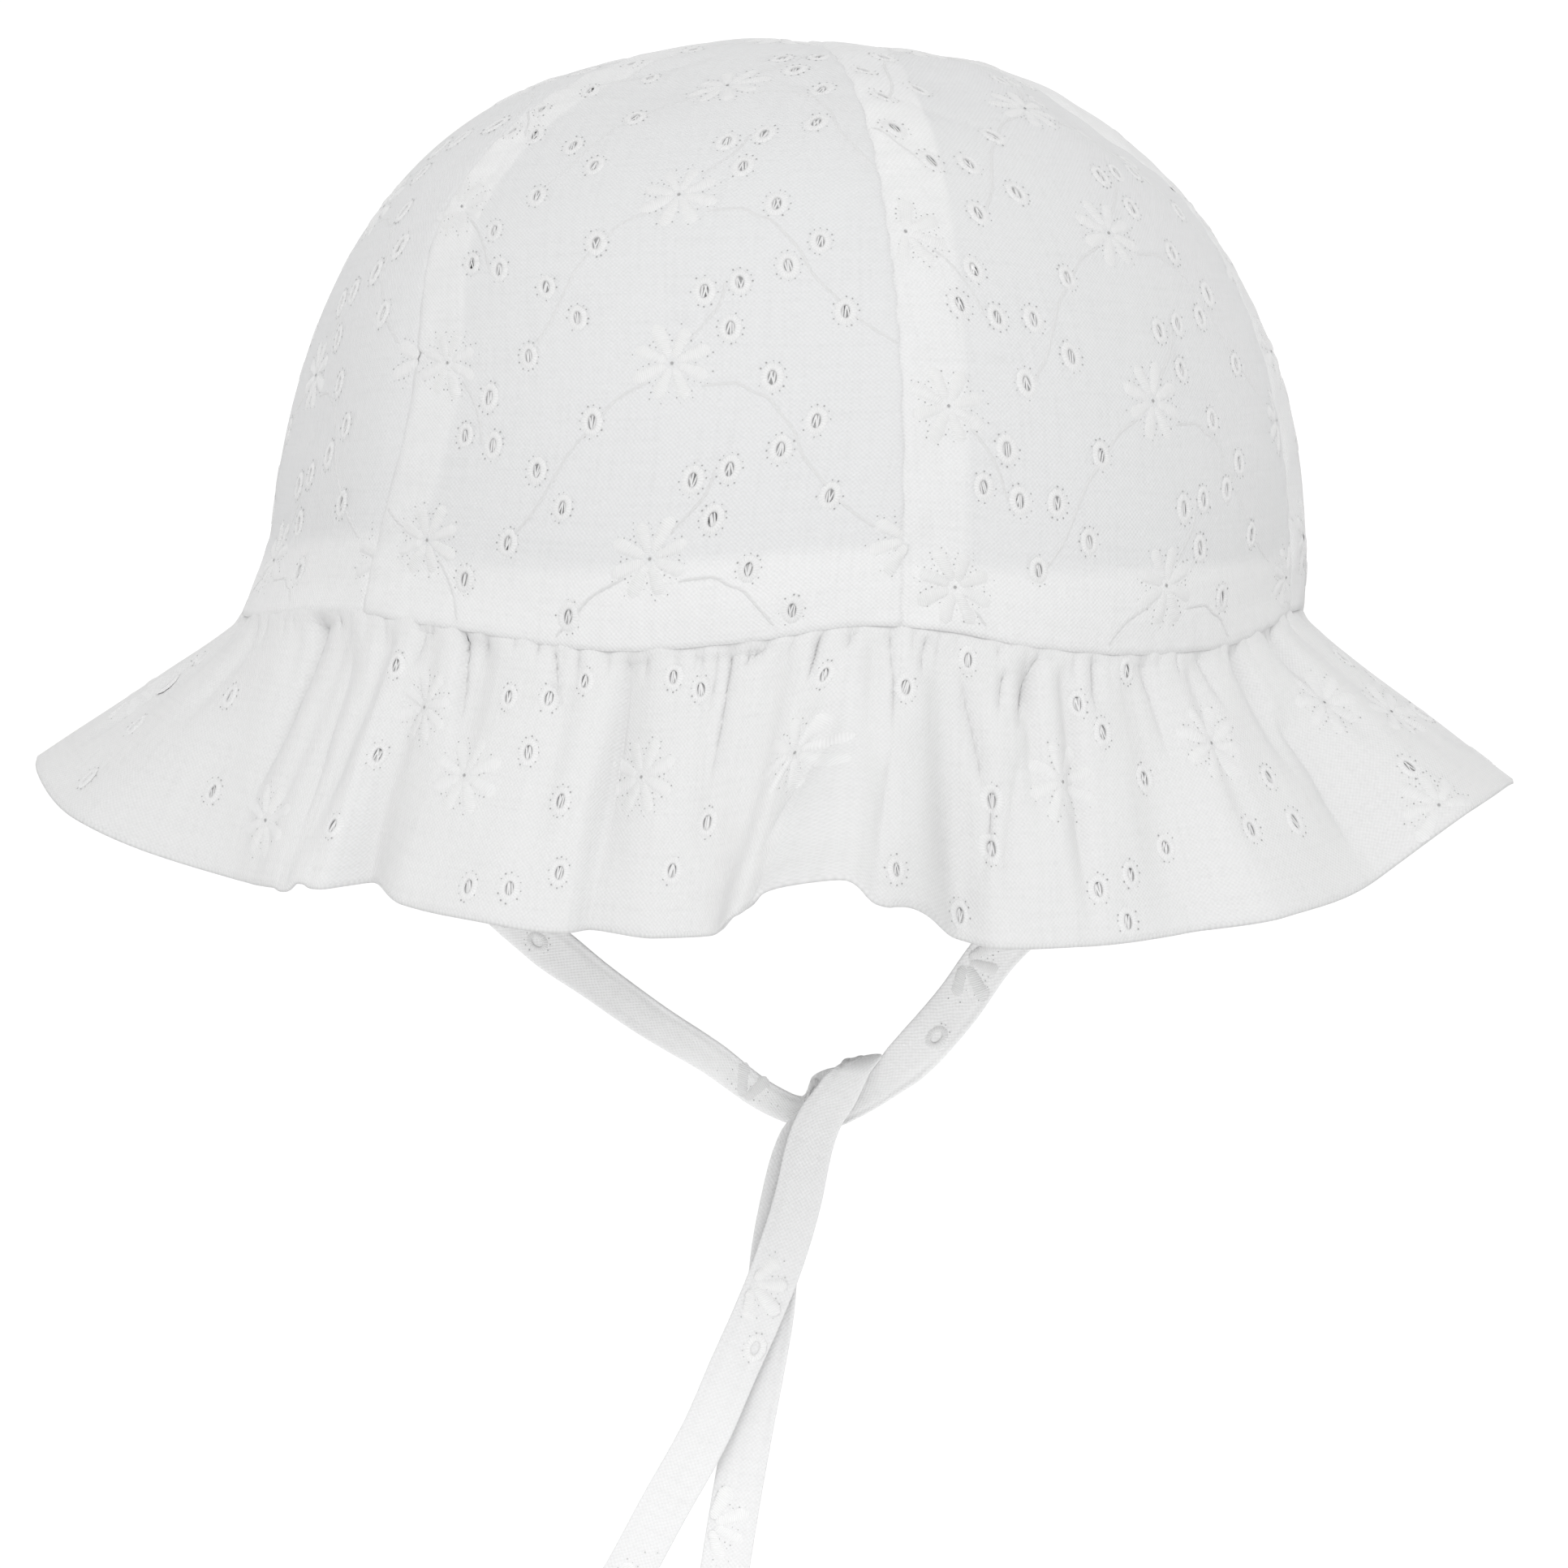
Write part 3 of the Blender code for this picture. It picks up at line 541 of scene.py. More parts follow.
class Panel:
    """One panel of the crown, in mm across from its middle and up from its edge."""

    def __init__(self, number):
        self.number = number
        self.rises = np.linspace(0.0, TOP_RISE, HEIGHT_STEPS + 1)
        middle = dome_point(seam_angle(number + 0.5), self.rises)
        left = dome_point(seam_angle(number), self.rises)
        right = dome_point(seam_angle(number + 1), self.rises)
        self.heights = running_length(middle)
        self.halves = (np.linalg.norm(left - middle, axis=-1)
                       + np.linalg.norm(right - middle, axis=-1)) / 2

    def half(self, up):
        return np.interp(up, self.heights, self.halves)

    def relief(self, across, up):
        """Fine form of the cloth, outwards from the plain dome, in metres."""
        number = self.number
        half = self.half(up)
        from_left = half + across
        from_right = half - across
        groove = -GROOVE_DEPTH * (np.exp(-(from_left / GROOVE_WIDTH) ** 2)
                                  + np.exp(-(from_right / GROOVE_WIDTH) ** 2))
        band = FOLD_LIFT * soft_step(0.4 * MM, 1.4 * MM, from_left)
        band = band * (1.0 - soft_step(ALLOWANCE - 0.5 * MM, ALLOWANCE + 0.5 * MM, from_left))
        slant = up / (8.6 * MM) - from_left / (15.0 * MM) + 0.6 * np.sin(up / (13.0 * MM) + number)
        pucker = RIGHT_PUCKER * np.sin(2 * np.pi * slant) * np.exp(-from_left / (6.5 * MM))
        pucker = pucker * soft_step(0.0, 1.5 * MM, from_left)
        slant = up / (6.4 * MM) + from_right / (12.0 * MM) + 0.5 * np.sin(up / (9.0 * MM) - number)
        small = LEFT_PUCKER * np.sin(2 * np.pi * slant)
        pucker = pucker + small * np.exp(-from_right / (4.5 * MM))
        wave = LONG_WAVE * np.sin(across / (10.5 * MM) + up / (16.0 * MM) + 1.7 * number)
        wave = wave + SHORT_WAVE * np.sin(across / (17.0 * MM) - up / (11.0 * MM) + 2.9 * number)
        wave = wave * soft_step(0.0, 6.0 * MM, np.minimum(np.minimum(from_left, from_right), up))
        facing = FACING_LIFT * (1.0 - soft_step(FACING - 0.6 * MM, FACING + 0.6 * MM, up))
        edge = -EDGE_DIP * np.exp(-(up / (0.6 * MM)) ** 2)
        pull = EDGE_PULL * np.sin(across / (0.85 * MM) + 1.3 * np.sin(across / (4.0 * MM)))
        pull = pull * np.exp(-up / (2.5 * MM))
        total = MM * (groove + band + pucker + wave + facing + edge + pull)
        for place, x0, y0, x1, y1, depth, wide in CROWN_FOLDS:
            if place == number:
                away, along, _ = line_distance(across / MM, up / MM, x0, y0, x1, y1)
                total = total - depth * MM * np.exp(-away / wide) * np.sin(np.pi * along) ** 0.7
        return total

    def surface(self, across, up, out=0.0):
        across, up = np.broadcast_arrays(np.asarray(across, float), np.asarray(up, float))
        rise = np.interp(up, self.heights, self.rises)
        share = across / self.half(up)
        point = dome_point(seam_angle(self.number + 0.5) + share * 180.0 / PANELS, rise)
        centre = np.array([0.0, 0.0, 0.1 * CROWN_HEIGHT])
        return point + unit(point - centre) * (self.relief(across, up) + out)[..., None]

    def backing_and_painted_light(self, across, up):
        """1 where a second layer of cloth lies behind, 0 where the cloth is single."""
        from_left = self.half(up) + across
        fold = 1.0 - soft_step(ALLOWANCE - 0.5 * MM, ALLOWANCE + 0.4 * MM, from_left)
        top = FACING * (1.0 + 0.10 * np.sin(across / (14.0 * MM) + self.number))
        facing = 1.0 - soft_step(top - 1.6 * MM, top + 1.2 * MM, up)
        fold = fold * (0.55 + 0.45 * np.exp(-((up - 78.0 * MM) / (15.0 * MM)) ** 2))
        return np.clip(np.maximum(fold, 0.85 * facing) + 0.15 * facing * fold, 0.0, 1.0)


# The brim's surface

def back_folds():
    """Rows like BRIM_FOLDS for the back, in and out by turns."""
    rows = []
    count = 2 * SIDE_FLUTES
    first = BRIM_FOLDS[-1][0]
    last = BRIM_FOLDS[0][0] + 360.0
    for k in range(1, count):
        angle = first + (last - first) * k / count
        reach = float(smooth_curve(column(BACK_REACH, 0), column(BACK_REACH, 1), angle))
        swing = float(smooth_curve(column(BACK_REACH, 0), column(BACK_REACH, 2), angle))
        reach += swing if k % 2 else -swing
        rows.append((angle, angle, reach, math.sqrt(1.0 - reach * reach)))
    return rows


FOLD_ROWS = round_table(list(BRIM_FOLDS) + back_folds())
FOLD_SEAMS = column(FOLD_ROWS, 0)
FOLD_HEMS = [row[0] + wrap(row[1] - row[0]) for row in FOLD_ROWS]
FOLD_REACHES = column(FOLD_ROWS, 2)
FOLD_DROPS = column(FOLD_ROWS, 3)


def plain_brim(angle, level):
    """The brim's broad form, level 0 at the seam and 1 at the hem."""
    angle, level = np.broadcast_arrays(np.asarray(angle, float), np.asarray(level, float))
    wrapped = wrap(angle)
    below = np.clip(level, 0.0, None)
    above = np.clip(-level, 0.0, None)
    hem_angle = smooth_curve(FOLD_SEAMS, FOLD_HEMS, wrapped)
    reach = smooth_curve(FOLD_SEAMS, FOLD_REACHES, wrapped) * BRIM_WIDTH
    hem_drop = smooth_curve(FOLD_SEAMS, FOLD_DROPS, wrapped) * BRIM_WIDTH
    turn = np.radians(wrapped + (hem_angle - wrapped) * below)
    bend = below * below / (below + BRIM_BEND) * (1.0 + BRIM_BEND)
    flare = edge_flare(wrapped) * (1.0 - above * BRIM_WIDTH / (FLARE_HEIGHT * CROWN_HEIGHT)) ** 2
    tuck = BRIM_TUCK * (np.exp(-(below / 0.015) ** 2) + above / 0.05)
    out = flare + reach * bend - tuck
    seam_z = seam_level(wrapped)
    height = seam_z + (-hem_drop - seam_z) * below + above * BRIM_WIDTH
    return np.stack([np.sin(turn) * (CROWN_WIDTH / 2 + out),
                     -np.cos(turn) * (CROWN_DEPTH / 2 + out), height], -1)


def flat_brim(angle, level):
    """Place on the brim laid flat, in metres across and down."""
    return angle * (MM_PER_DEGREE + 0.35 * level) * MM, level * BRIM_WIDTH


def crease_relief(angle, level):
    """Sharp creases, which run out towards the hem and start soft below the seam."""
    across, down = flat_brim(angle, level)
    total = np.zeros_like(across)
    for *places, depth, left, right in CREASES:
        start, turn, end = (flat_brim(*places[k:k + 2]) for k in (0, 2, 4))
        nearest, along, side = line_distance(across, down, *start, *turn)
        away, share, aside = line_distance(across, down, *turn, *end)
        closer = away < nearest
        nearest = np.where(closer, away, nearest)
        side = np.where(closer, aside, side)
        along = np.where(closer, 1.0 + share, along) / 2.0
        fade = 1.0 - soft_step(CREASE_FADE, 1.0, along)
        if places[1] > 0.0:
            fade = fade * soft_step(0.0, CREASE_START, along)
        width = np.where(side < 0.0, left, right) * MM
        total = total - depth * MM * fade * np.exp(-nearest / width)
    return CREASE_SCALE * total * soft_step(0.0, CREASE_SEAM, level)


def gather_rows():
    """Small gathers all round the brim's seam: angle, reach, depth, width."""
    random = np.random.default_rng(SEED)
    rows = []
    for k in range(SMALL_GATHERS):
        angle = -180.0 + 360.0 * (k + random.uniform(-0.35, 0.35)) / SMALL_GATHERS
        front = abs(angle) < 70.0
        reach = random.uniform(0.05, 0.20) if front else random.uniform(0.05, 0.40)
        rows.append((angle, reach, random.uniform(0.20, 0.80) * MM,
                     random.uniform(0.40, 0.80) * MM))
    return rows


GATHER_ROWS = gather_rows()


def ripple_rows():
    """Soft folds all round: angle, lean, width, depth and reach."""
    random = np.random.default_rng(SEED + 5)
    rows = []
    for k in range(RIPPLES):
        angle = -180.0 + 360.0 * (k + random.uniform(-0.3, 0.3)) / RIPPLES
        lean = 0.10 * wrap(angle) * random.uniform(-0.2, 1.0) if abs(angle) < 90.0 else 0.0
        rows.append((angle, lean, random.uniform(1.0, 2.0), random.uniform(0.4, 1.5) * MM,
                     random.uniform(0.55, 1.3)))
    return rows


RIPPLE_ROWS = ripple_rows()


def gather_relief(angle, level):
    """Small gathers that hang from the seam."""
    total = np.zeros_like(angle)
    for place, reach, depth, width in GATHER_ROWS:
        across = np.abs(wrap(angle - place)) * MM_PER_DEGREE * MM
        near = across < 4.0 * width
        shape = np.exp(-across[near] / width)
        total[near] -= depth * shape * (1.0 - soft_step(0.3 * reach, reach, level[near]))
    return total * soft_step(0.0, 0.02, level)


def ripple_relief(angle, level):
    """Soft folds between the creases, deepest near the middle of the brim."""
    total = np.zeros_like(angle)
    for place, lean, wide, depth, reach in RIPPLE_ROWS:
        away = wrap(angle - place - lean * level) / wide
        near = np.abs(away) < 3.0
        fade = soft_step(0.0, 0.12, level[near])
        fade = fade * (1.0 - soft_step(0.5 * reach, reach, level[near]))
        total[near] -= depth * np.exp(-away[near] ** 2) * fade
    return total


def brim_point(angle, level, out=0.0):
    """The brim with its creases, gathers, soft folds and hem."""
    angle, level = np.broadcast_arrays(np.asarray(angle, float), np.asarray(level, float))
    point = plain_brim(angle, level)
    across = plain_brim(angle + 0.2, level) - point
    upward = plain_brim(angle, level - 0.01) - point
    normal = unit(np.cross(across, upward))
    angle_now = wrap(angle)
    relief = crease_relief(angle_now, level) + gather_relief(angle_now, level)
    relief = relief + ripple_relief(angle_now, level)
    relief = relief + 0.15 * MM * np.sin(angle * 0.55) * np.sin(level * 9.0 + angle * 0.1)
    rise = sum(height * MM * np.exp(-(wrap(angle - place) / width) ** 4)
               for place, width, height in HEM_STEPS)
    lifted = point + normal * (relief + out)[..., None]
    lifted[..., 2] += rise * soft_step(0.80, 1.0, level)
    return lifted


# Meshes

def new_object(name, data):
    made = bpy.data.objects.new(name, data)
    bpy.context.scene.collection.objects.link(made)
    return made


def mesh_object(name, points, faces, corners, material, backing_and_painted_light=None):
    """Mesh of quads and triangles with its flat cloth places as UVs."""
    mesh = bpy.data.meshes.new(name)
    mesh.from_pydata(points.tolist(), [], faces)
    layer = mesh.uv_layers.new(name="cloth")
    layer.data.foreach_set("uv", np.asarray(corners, np.float32).ravel())
    if backing_and_painted_light is not None:
        attribute = mesh.attributes.new("backing_and_painted_light", "FLOAT", "POINT")
        attribute.data.foreach_set("value", np.asarray(backing_and_painted_light, np.float32))
    mesh.materials.append(material)
    mesh.shade_smooth()
    made = new_object(name, mesh)
    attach(made, "root")
    return made


def grid_normals(points, closed):
    if closed:
        across = np.roll(points, -1, 1) - np.roll(points, 1, 1)
    else:
        across = np.gradient(points, axis=1)
    return unit(np.cross(across, np.gradient(points, axis=0)))


def quad_corners(grid, low, at, after):
    """The grid's values at the four corners of each quad."""
    return np.stack([grid[low, at], grid[low, after], grid[low + 1, after], grid[low + 1, at]], 1)


def shell(name, points, flat, wall, material, closed=False, keep=None, backing_and_painted_light=None):
    """Cloth of a wall's thickness on a grid of points, with round edges."""
    rows, columns = points.shape[:2]
    normals = grid_normals(points, closed)
    quads = columns if closed else columns - 1
    low, at = np.meshgrid(np.arange(rows - 1), np.arange(quads), indexing="ij")
    if keep is None:
        keep = np.ones((rows - 1, quads), bool)
    low = low[keep]
    at = at[keep]
    count = rows * columns
    outer = quad_corners(np.arange(count).reshape(rows, columns), low, at, (at + 1) % columns)
    places = quad_corners(flat, low, at, at + 1)
    middle = points.reshape(-1, 3)
    offset = normals.reshape(-1, 3) * wall / 2
    starts = outer.ravel()
    ends = np.roll(outer, -1, 1).ravel()
    start_places = places.reshape(-1, 2)
    end_places = np.roll(places, -1, 1).reshape(-1, 2)
    bare = ~np.isin(starts * count + ends, ends * count + starts)
    starts, ends = starts[bare], ends[bare]
    start_places, end_places = start_places[bare], end_places[bare]
    aside = np.zeros((count, 3))
    edge = unit(np.cross(middle[ends] - middle[starts], normals.reshape(-1, 3)[starts]) + 1e-12)
    np.add.at(aside, starts, edge)
    np.add.at(aside, ends, edge)
    rim = np.flatnonzero(np.linalg.norm(aside, axis=1) > 0.0)
    rim_index = np.full(count, -1)
    rim_index[rim] = np.arange(len(rim)) + 2 * count
    rim_points = middle[rim] + unit(aside[rim]) * wall / 2
    vertices = np.concatenate([middle + offset, middle - offset, rim_points])
    rim_starts, rim_ends = rim_index[starts], rim_index[ends]
    faces = np.concatenate([outer, outer[:, ::-1] + count,
                            np.stack([ends, starts, rim_starts, rim_ends], 1),
                            np.stack([rim_ends, rim_starts, starts + count, ends + count], 1)])
    cap = np.stack([end_places, start_places, start_places, end_places], 1).reshape(-1, 2)
    corners = [places.reshape(-1, 2), places[:, ::-1].reshape(-1, 2), cap, cap]
    used = np.unique(faces)
    renumber = np.full(len(vertices), -1)
    renumber[used] = np.arange(len(used))
    if backing_and_painted_light is not None:
        flat_backing = backing_and_painted_light.ravel()
        backing_and_painted_light = np.concatenate([flat_backing, flat_backing, flat_backing[rim]])[used]
    return mesh_object(name, vertices[used], renumber[faces].tolist(),
                       np.concatenate(corners), material, backing_and_painted_light)


def eyelet_share(across, up, place, stretch):
    """Distance from an eyelet's centre, 1 on the middle of its rim."""
    wide = (EYELET_WIDTH + RIM_WIDTH) / 4 / stretch
    tall = (EYELET_LENGTH + RIM_LENGTH) / 4
    return np.hypot((across - place[0]) / wide, (up - place[1]) / tall)


def open_eyelets(across, up, eyelets, stretches):
    """Grid places moved to the eyelets' edges, and the quads that stay."""
    inside = np.zeros(across.shape, bool)
    for place, stretch in zip(eyelets, stretches):
        inside |= eyelet_share(across, up, place, stretch) < 0.8
    corners = (np.s_[:-1, :-1], np.s_[1:, :-1], np.s_[:-1, 1:], np.s_[1:, 1:])
    gone = np.any([inside[corner] for corner in corners], axis=0)
    touches = np.zeros(across.shape, bool)
    for corner in corners:
        touches[corner] |= gone
    moved_across = across.copy()
    moved_up = up.copy()
    for place, stretch in zip(eyelets, stretches):
        share = eyelet_share(across, up, place, stretch)
        near = touches & ~inside & (share < 2.2) & (share > 0.0)
        moved_across[near] = place[0] + (across[near] - place[0]) / share[near]
        moved_up[near] = place[1] + (up[near] - place[1]) / share[near]
    return moved_across, moved_up, ~gone


# Embroidery, sewn from small forms that are set on a surface

def stretch_of(surface, across, up):
    """How much wider the cloth lies than its flat measure, at each place."""
    step = 1.2 * MM
    wide = np.linalg.norm(surface(across + step, up) - surface(across - step, up), axis=-1)
    return np.clip(wide / (2.0 * step), 0.6, 1.8)


def grid_faces(rows, columns, closed):
    quads = columns if closed else columns - 1
    return [(r * columns + k, r * columns + (k + 1) % columns,
             (r + 1) * columns + (k + 1) % columns, (r + 1) * columns + k)
            for r in range(rows - 1) for k in range(quads)]


def rim_form():
    """Satin ring round an eyelet: places across, up and out, and stitch UVs."""
    steps = 40
    rows = ((0.0, -1.0), (0.02, 0.55), (0.28, 1.0), (0.68, 0.85), (1.0, -0.35))
    points = []
    places = []
    for outer, height in rows:
        for k in range(steps + 1):
            turn = 2.0 * math.pi * k / steps
            scallop = 1.0 + 0.035 * outer * math.cos(10 * turn)
            wide = (EYELET_WIDTH + (RIM_WIDTH - EYELET_WIDTH) * outer) / 2 * scallop
            tall = (EYELET_LENGTH + (RIM_LENGTH - EYELET_LENGTH) * outer) / 2 * scallop
            points.append((math.cos(turn) * wide, math.sin(turn) * tall, height * RIM_HEIGHT))
            places.append((24.0 * k / steps, outer))
    faces = [face[::-1] for face in grid_faces(len(rows), steps + 1, False)]
    return np.array(points), faces, np.array(places)


def petal_form():
    """One satin petal that points up from the daisy's centre."""
    rows = 17
    columns = 7
    points = []
    places = []
    for r in range(rows):
        along = r / (rows - 1)
        fray = 1.0 + (0.07 if r % 2 else -0.07)
        corner = float(soft_step(0.80, 1.06, along))
        width = min(1.0, (along + 0.03) / 0.16) ** 0.5 * (0.56 + 0.44 * along)
        width *= 1.0 - 0.75 * corner
        for k in range(columns):
            side = 2.0 * k / (columns - 1) - 1.0
            across = side * width * (fray if abs(side) == 1.0 else 1.0) * PETAL_WIDTH / 2
            up = PETAL_START + PETAL_LENGTH * along
            end = min(1.0, 4.0 * min(along + 0.03, 1.03 - along))
            lift = end * math.sqrt(max(0.0, 1.0 - side * side))
            points.append((across, up, PETAL_HEIGHT * (lift - 0.12)))
            places.append((PETAL_LENGTH * along / STITCH_PITCH + 0.6 * side, 0.5 + 0.5 * side))
    return np.array(points), grid_faces(rows, columns, False), np.array(places)


def stitch_form():
    """One long stitch of an embroidered line, along its own across direction."""
    rows = 5
    columns = 7
    points = []
    places = []
    for r in range(rows):
        side = 2.0 * r / (rows - 1) - 1.0
        for k in range(columns):
            along = 2.0 * k / (columns - 1) - 1.0
            thin = math.sqrt(max(0.0, 1.0 - along * along))
            lift = math.sqrt(max(0.0, 1.0 - side * side)) * thin
            points.append((along * 0.95 * MM, side * LINE_WIDTH / 2 * thin,
                           LINE_HEIGHT * (lift - 0.15)))
            places.append((along + 2.0 * side, side))
    return np.array(points), grid_faces(rows, columns, False), np.array(places)


def cross_thread_form():
    """A loose thread that crosses an eyelet's hole from edge to edge."""
    points = []
    for up in (-0.55, -0.2, 0.2, 0.55):
        for across, out in ((-0.5, -0.8), (0.0, 0.0), (0.5, -0.8)):
            points.append((across * CROSS_THREAD, up * EYELET_LENGTH,
                           out * CROSS_THREAD / 2 - 0.1 * MM))
    return np.array(points), grid_faces(4, 3, False), np.zeros((12, 2))


def oval_form(sides, wide, tall, middle_out, edge_out):
    """A flat oval of triangles round its centre."""
    points = [(0.0, 0.0, middle_out)]
    for k in range(sides):
        turn = 2.0 * math.pi * k / sides
        points.append((wide * math.cos(turn), tall * math.sin(turn), edge_out))
    faces = [(0, 1 + k, 1 + (k + 1) % sides) for k in range(sides)]
    return np.array(points), faces, np.array(points)[:, :2]


class Embroidery:
    """Collects forms set on a surface and makes them one object."""

    def __init__(self, surface, wall):
        self.surface = surface
        self.wall = wall
        self.points = []
        self.faces = []
        self.corners = []
        self.count = 0

    def add(self, form, across, up, turn=0.0, size=1.0):
        """Lay a form on the cloth at each place, turned anticlockwise by turn radians."""
        template, faces, places = form
        across, up, turn, size = (np.array(values, float) for values in
                                  np.broadcast_arrays(np.atleast_1d(across), up, turn, size))
        if not len(across):
            return
        cosine = np.cos(turn)[:, None]
        sine = np.sin(turn)[:, None]
        scaled = template[None] * size[:, None, None]
        aside = scaled[..., 0] * cosine - scaled[..., 1] * sine
        aside = aside / stretch_of(self.surface, across, up)[:, None]
        above = scaled[..., 0] * sine + scaled[..., 1] * cosine
        made = self.surface(across[:, None] + aside, up[:, None] + above,
                            self.wall / 2 + scaled[..., 2])
        self.points.append(made.reshape(-1, 3))
        for k in range(len(across)):
            base = self.count + k * len(template)
            self.faces.extend([tuple(base + v for v in face) for face in faces])
        corner = np.concatenate([places[list(face)] for face in faces])
        self.corners.append(np.tile(corner, (len(across), 1)))
        self.count += len(across) * len(template)

    def build(self, name, material):
        return mesh_object(name, np.concatenate(self.points), self.faces,
                           np.concatenate(self.corners), material)


def spread_line(points, step):
    """Places at even steps along a smooth line through the points, and turns."""
    points = np.array(points, float)
    lengths = running_length(points)
    fine = np.linspace(0.0, lengths[-1], max(2, int(lengths[-1] / (step / 4))))
    across = smooth_curve(lengths, points[:, 0], fine)
    up = smooth_curve(lengths, points[:, 1], fine)
    run = np.concatenate([[0.0], np.cumsum(np.hypot(np.diff(across), np.diff(up)))])
    at = np.arange(step / 2, run[-1], step)
    ahead, behind = at + step / 4, at - step / 4
    turn = np.arctan2(np.interp(ahead, run, up) - np.interp(behind, run, up),
                      np.interp(ahead, run, across) - np.interp(behind, run, across))
    return np.interp(at, run, across), np.interp(at, run, up), turn


RIM = rim_form()
PETAL = petal_form()
STITCH = stitch_form()
CROSS = cross_thread_form()
# A needle's prick, seen as a dark dot of painted shade, and a layer of cloth behind an eyelet.
NEEDLE = oval_form(6, 0.13 * MM, 0.13 * MM, 0.03 * MM, 0.05 * MM)
PATCH = oval_form(12, 0.75 * EYELET_WIDTH, 0.68 * EYELET_LENGTH, -PATCH_DEPTH, -PATCH_DEPTH)


def sew_pattern(threads, needles, random, eyelets, daisies, lines, inside):
    """Rims, daisies and lines with their needle holes, kept where inside says."""
    around = 2.0 * np.pi * np.arange(NEEDLE_HOLES) / NEEDLE_HOLES

    # Dark dots of painted shade at the needle's pricks.
    def prick(across, up, share, low, high):
        count = len(across)
        kept = inside(across, up) & (random.uniform(0.0, 1.0, count) < share)
        needles.add(NEEDLE, across[kept], up[kept], size=random.uniform(low, high, count)[kept])

    for across, up in eyelets:
        size = random.uniform(0.92, 1.06)
        threads.add(RIM, across, up, turn=random.uniform(-0.12, 0.12), size=size)
        aside = np.array([-0.30, -0.02, 0.28]) * EYELET_WIDTH + random.uniform(-0.08, 0.08, 3) * MM
        threads.add(CROSS, across + aside, np.full(3, up),
                    turn=random.uniform(-0.35, 0.35, 3), size=size)
        dots = around + random.uniform(-0.1, 0.1, NEEDLE_HOLES)
        prick(across + np.cos(dots) * RIM_WIDTH * 0.56 * size,
              up + np.sin(dots) * RIM_LENGTH * 0.56 * size, 0.8, 0.6, 1.2)
    for across, up in daisies:
        lean = random.uniform(-0.1, 0.1)
        turns = lean + 2.0 * np.pi * (np.arange(PETALS) + 0.5) / PETALS
        reach = PETAL_START + PETAL_LENGTH / 2
        kept = inside(across - np.sin(turns) * reach, up + np.cos(turns) * reach)
        sizes = random.uniform(0.90, 1.08, PETALS)
        threads.add(PETAL, np.full(PETALS, across)[kept], np.full(PETALS, up)[kept],
                    turn=turns[kept], size=sizes[kept])
        for side in (-1.0, 1.0):
            for k in range(5):
                along = 0.25 + 0.19 * k
                far = PETAL_START + PETAL_LENGTH * along
                aside = side * PETAL_WIDTH * (0.40 + 0.16 * math.sin(math.pi * along))
                prick(across - np.sin(turns) * far + np.cos(turns) * aside,
                      up + np.cos(turns) * far + np.sin(turns) * aside, 0.6, 0.5, 1.0)
        if inside(np.array([across]), np.array([up]))[0]:
            needles.add(NEEDLE, across, up, size=1.9)
    for points in lines:
        across, up, turn = spread_line(points, 1.05 * MM)
        kept = inside(across, up)
        for place in eyelets:
            kept &= np.hypot((across - place[0]) / RIM_WIDTH, (up - place[1]) / RIM_LENGTH) > 0.42
        threads.add(STITCH, across[kept], up[kept], turn=turn[kept] + 0.16)


def panel_pattern(panel):
    """Eyelets, daisies and lines of one panel, in metres across and up."""
    shift, start, step, second_across, second_up = PANEL_PATTERNS[panel.number]
    eyelets = []
    daisies = []
    lines = []
    for row in range(-1, 7):
        for repeat in (-1, 0, 1):
            first = np.array([shift + repeat * REPEAT_WIDTH, start + row * step])
            second = first + (second_across, second_up)
            for base, spots, ways in ((first, FIRST_EYELETS, FIRST_LINES),
                                      (second, SECOND_EYELETS, SECOND_LINES)):
                daisies.append(base * MM)
                eyelets += [(base + place) * MM for place in spots]
                lines += [[(base + place) * MM for place in line] for line in ways]
    return eyelets, daisies, lines


# Materials

def add_node(tree, kind, **values):
    made = tree.nodes.new(kind)
    for name, value in values.items():
        setattr(made, name, value)
    return made


def math_node(tree, operation, first, second=None):
    made = add_node(tree, "ShaderNodeMath", operation=operation)
    for socket, value in zip(made.inputs, (first, second)):
        if value is None:
            continue
        if isinstance(value, (int, float)):
            socket.default_value = value
        else:
            tree.links.new(value, socket)
    return made.outputs[0]


def noise_node(tree, vector, scale, stretch=(1.0, 1.0, 1.0), detail=2.0):
    mapping = add_node(tree, "ShaderNodeMapping")
    mapping.inputs["Scale"].default_value = stretch
    tree.links.new(vector, mapping.inputs["Vector"])
    made = add_node(tree, "ShaderNodeTexNoise")
    made.inputs["Scale"].default_value = scale
    made.inputs["Detail"].default_value = detail
    tree.links.new(mapping.outputs["Vector"], made.inputs["Vector"])
    return made.outputs["Fac"]


def ramp_value(tree, value, low, high):
    made = add_node(tree, "ShaderNodeMapRange")
    made.inputs["To Min"].default_value = low
    made.inputs["To Max"].default_value = high
    tree.links.new(value, made.inputs["Value"])
    return made.outputs["Result"]


def new_material(name, **values):
    """A material with its node tree and its shader, whose inputs take the values."""
    made = bpy.data.materials.new(name)
    made.use_nodes = True
    shader = made.node_tree.nodes["Principled BSDF"]
    for word, value in values.items():
        shader.inputs[word.replace("_", " ")].default_value = value
    return made, made.node_tree, shader


def cloth_places(tree):
    """The flat place on the cloth, and its parts across and up."""
    uv = add_node(tree, "ShaderNodeUVMap", uv_map="cloth").outputs["UV"]
    parts = add_node(tree, "ShaderNodeSeparateXYZ")
    tree.links.new(uv, parts.inputs[0])
    return uv, parts.outputs["X"], parts.outputs["Y"]


def bump_node(tree, height, strength, distance, normal=None):
    made = add_node(tree, "ShaderNodeBump")
    made.inputs["Strength"].default_value = strength
    made.inputs["Distance"].default_value = distance
    tree.links.new(height, made.inputs["Height"])
    if normal is not None:
        tree.links.new(normal, made.inputs["Normal"])
    return made.outputs[0]


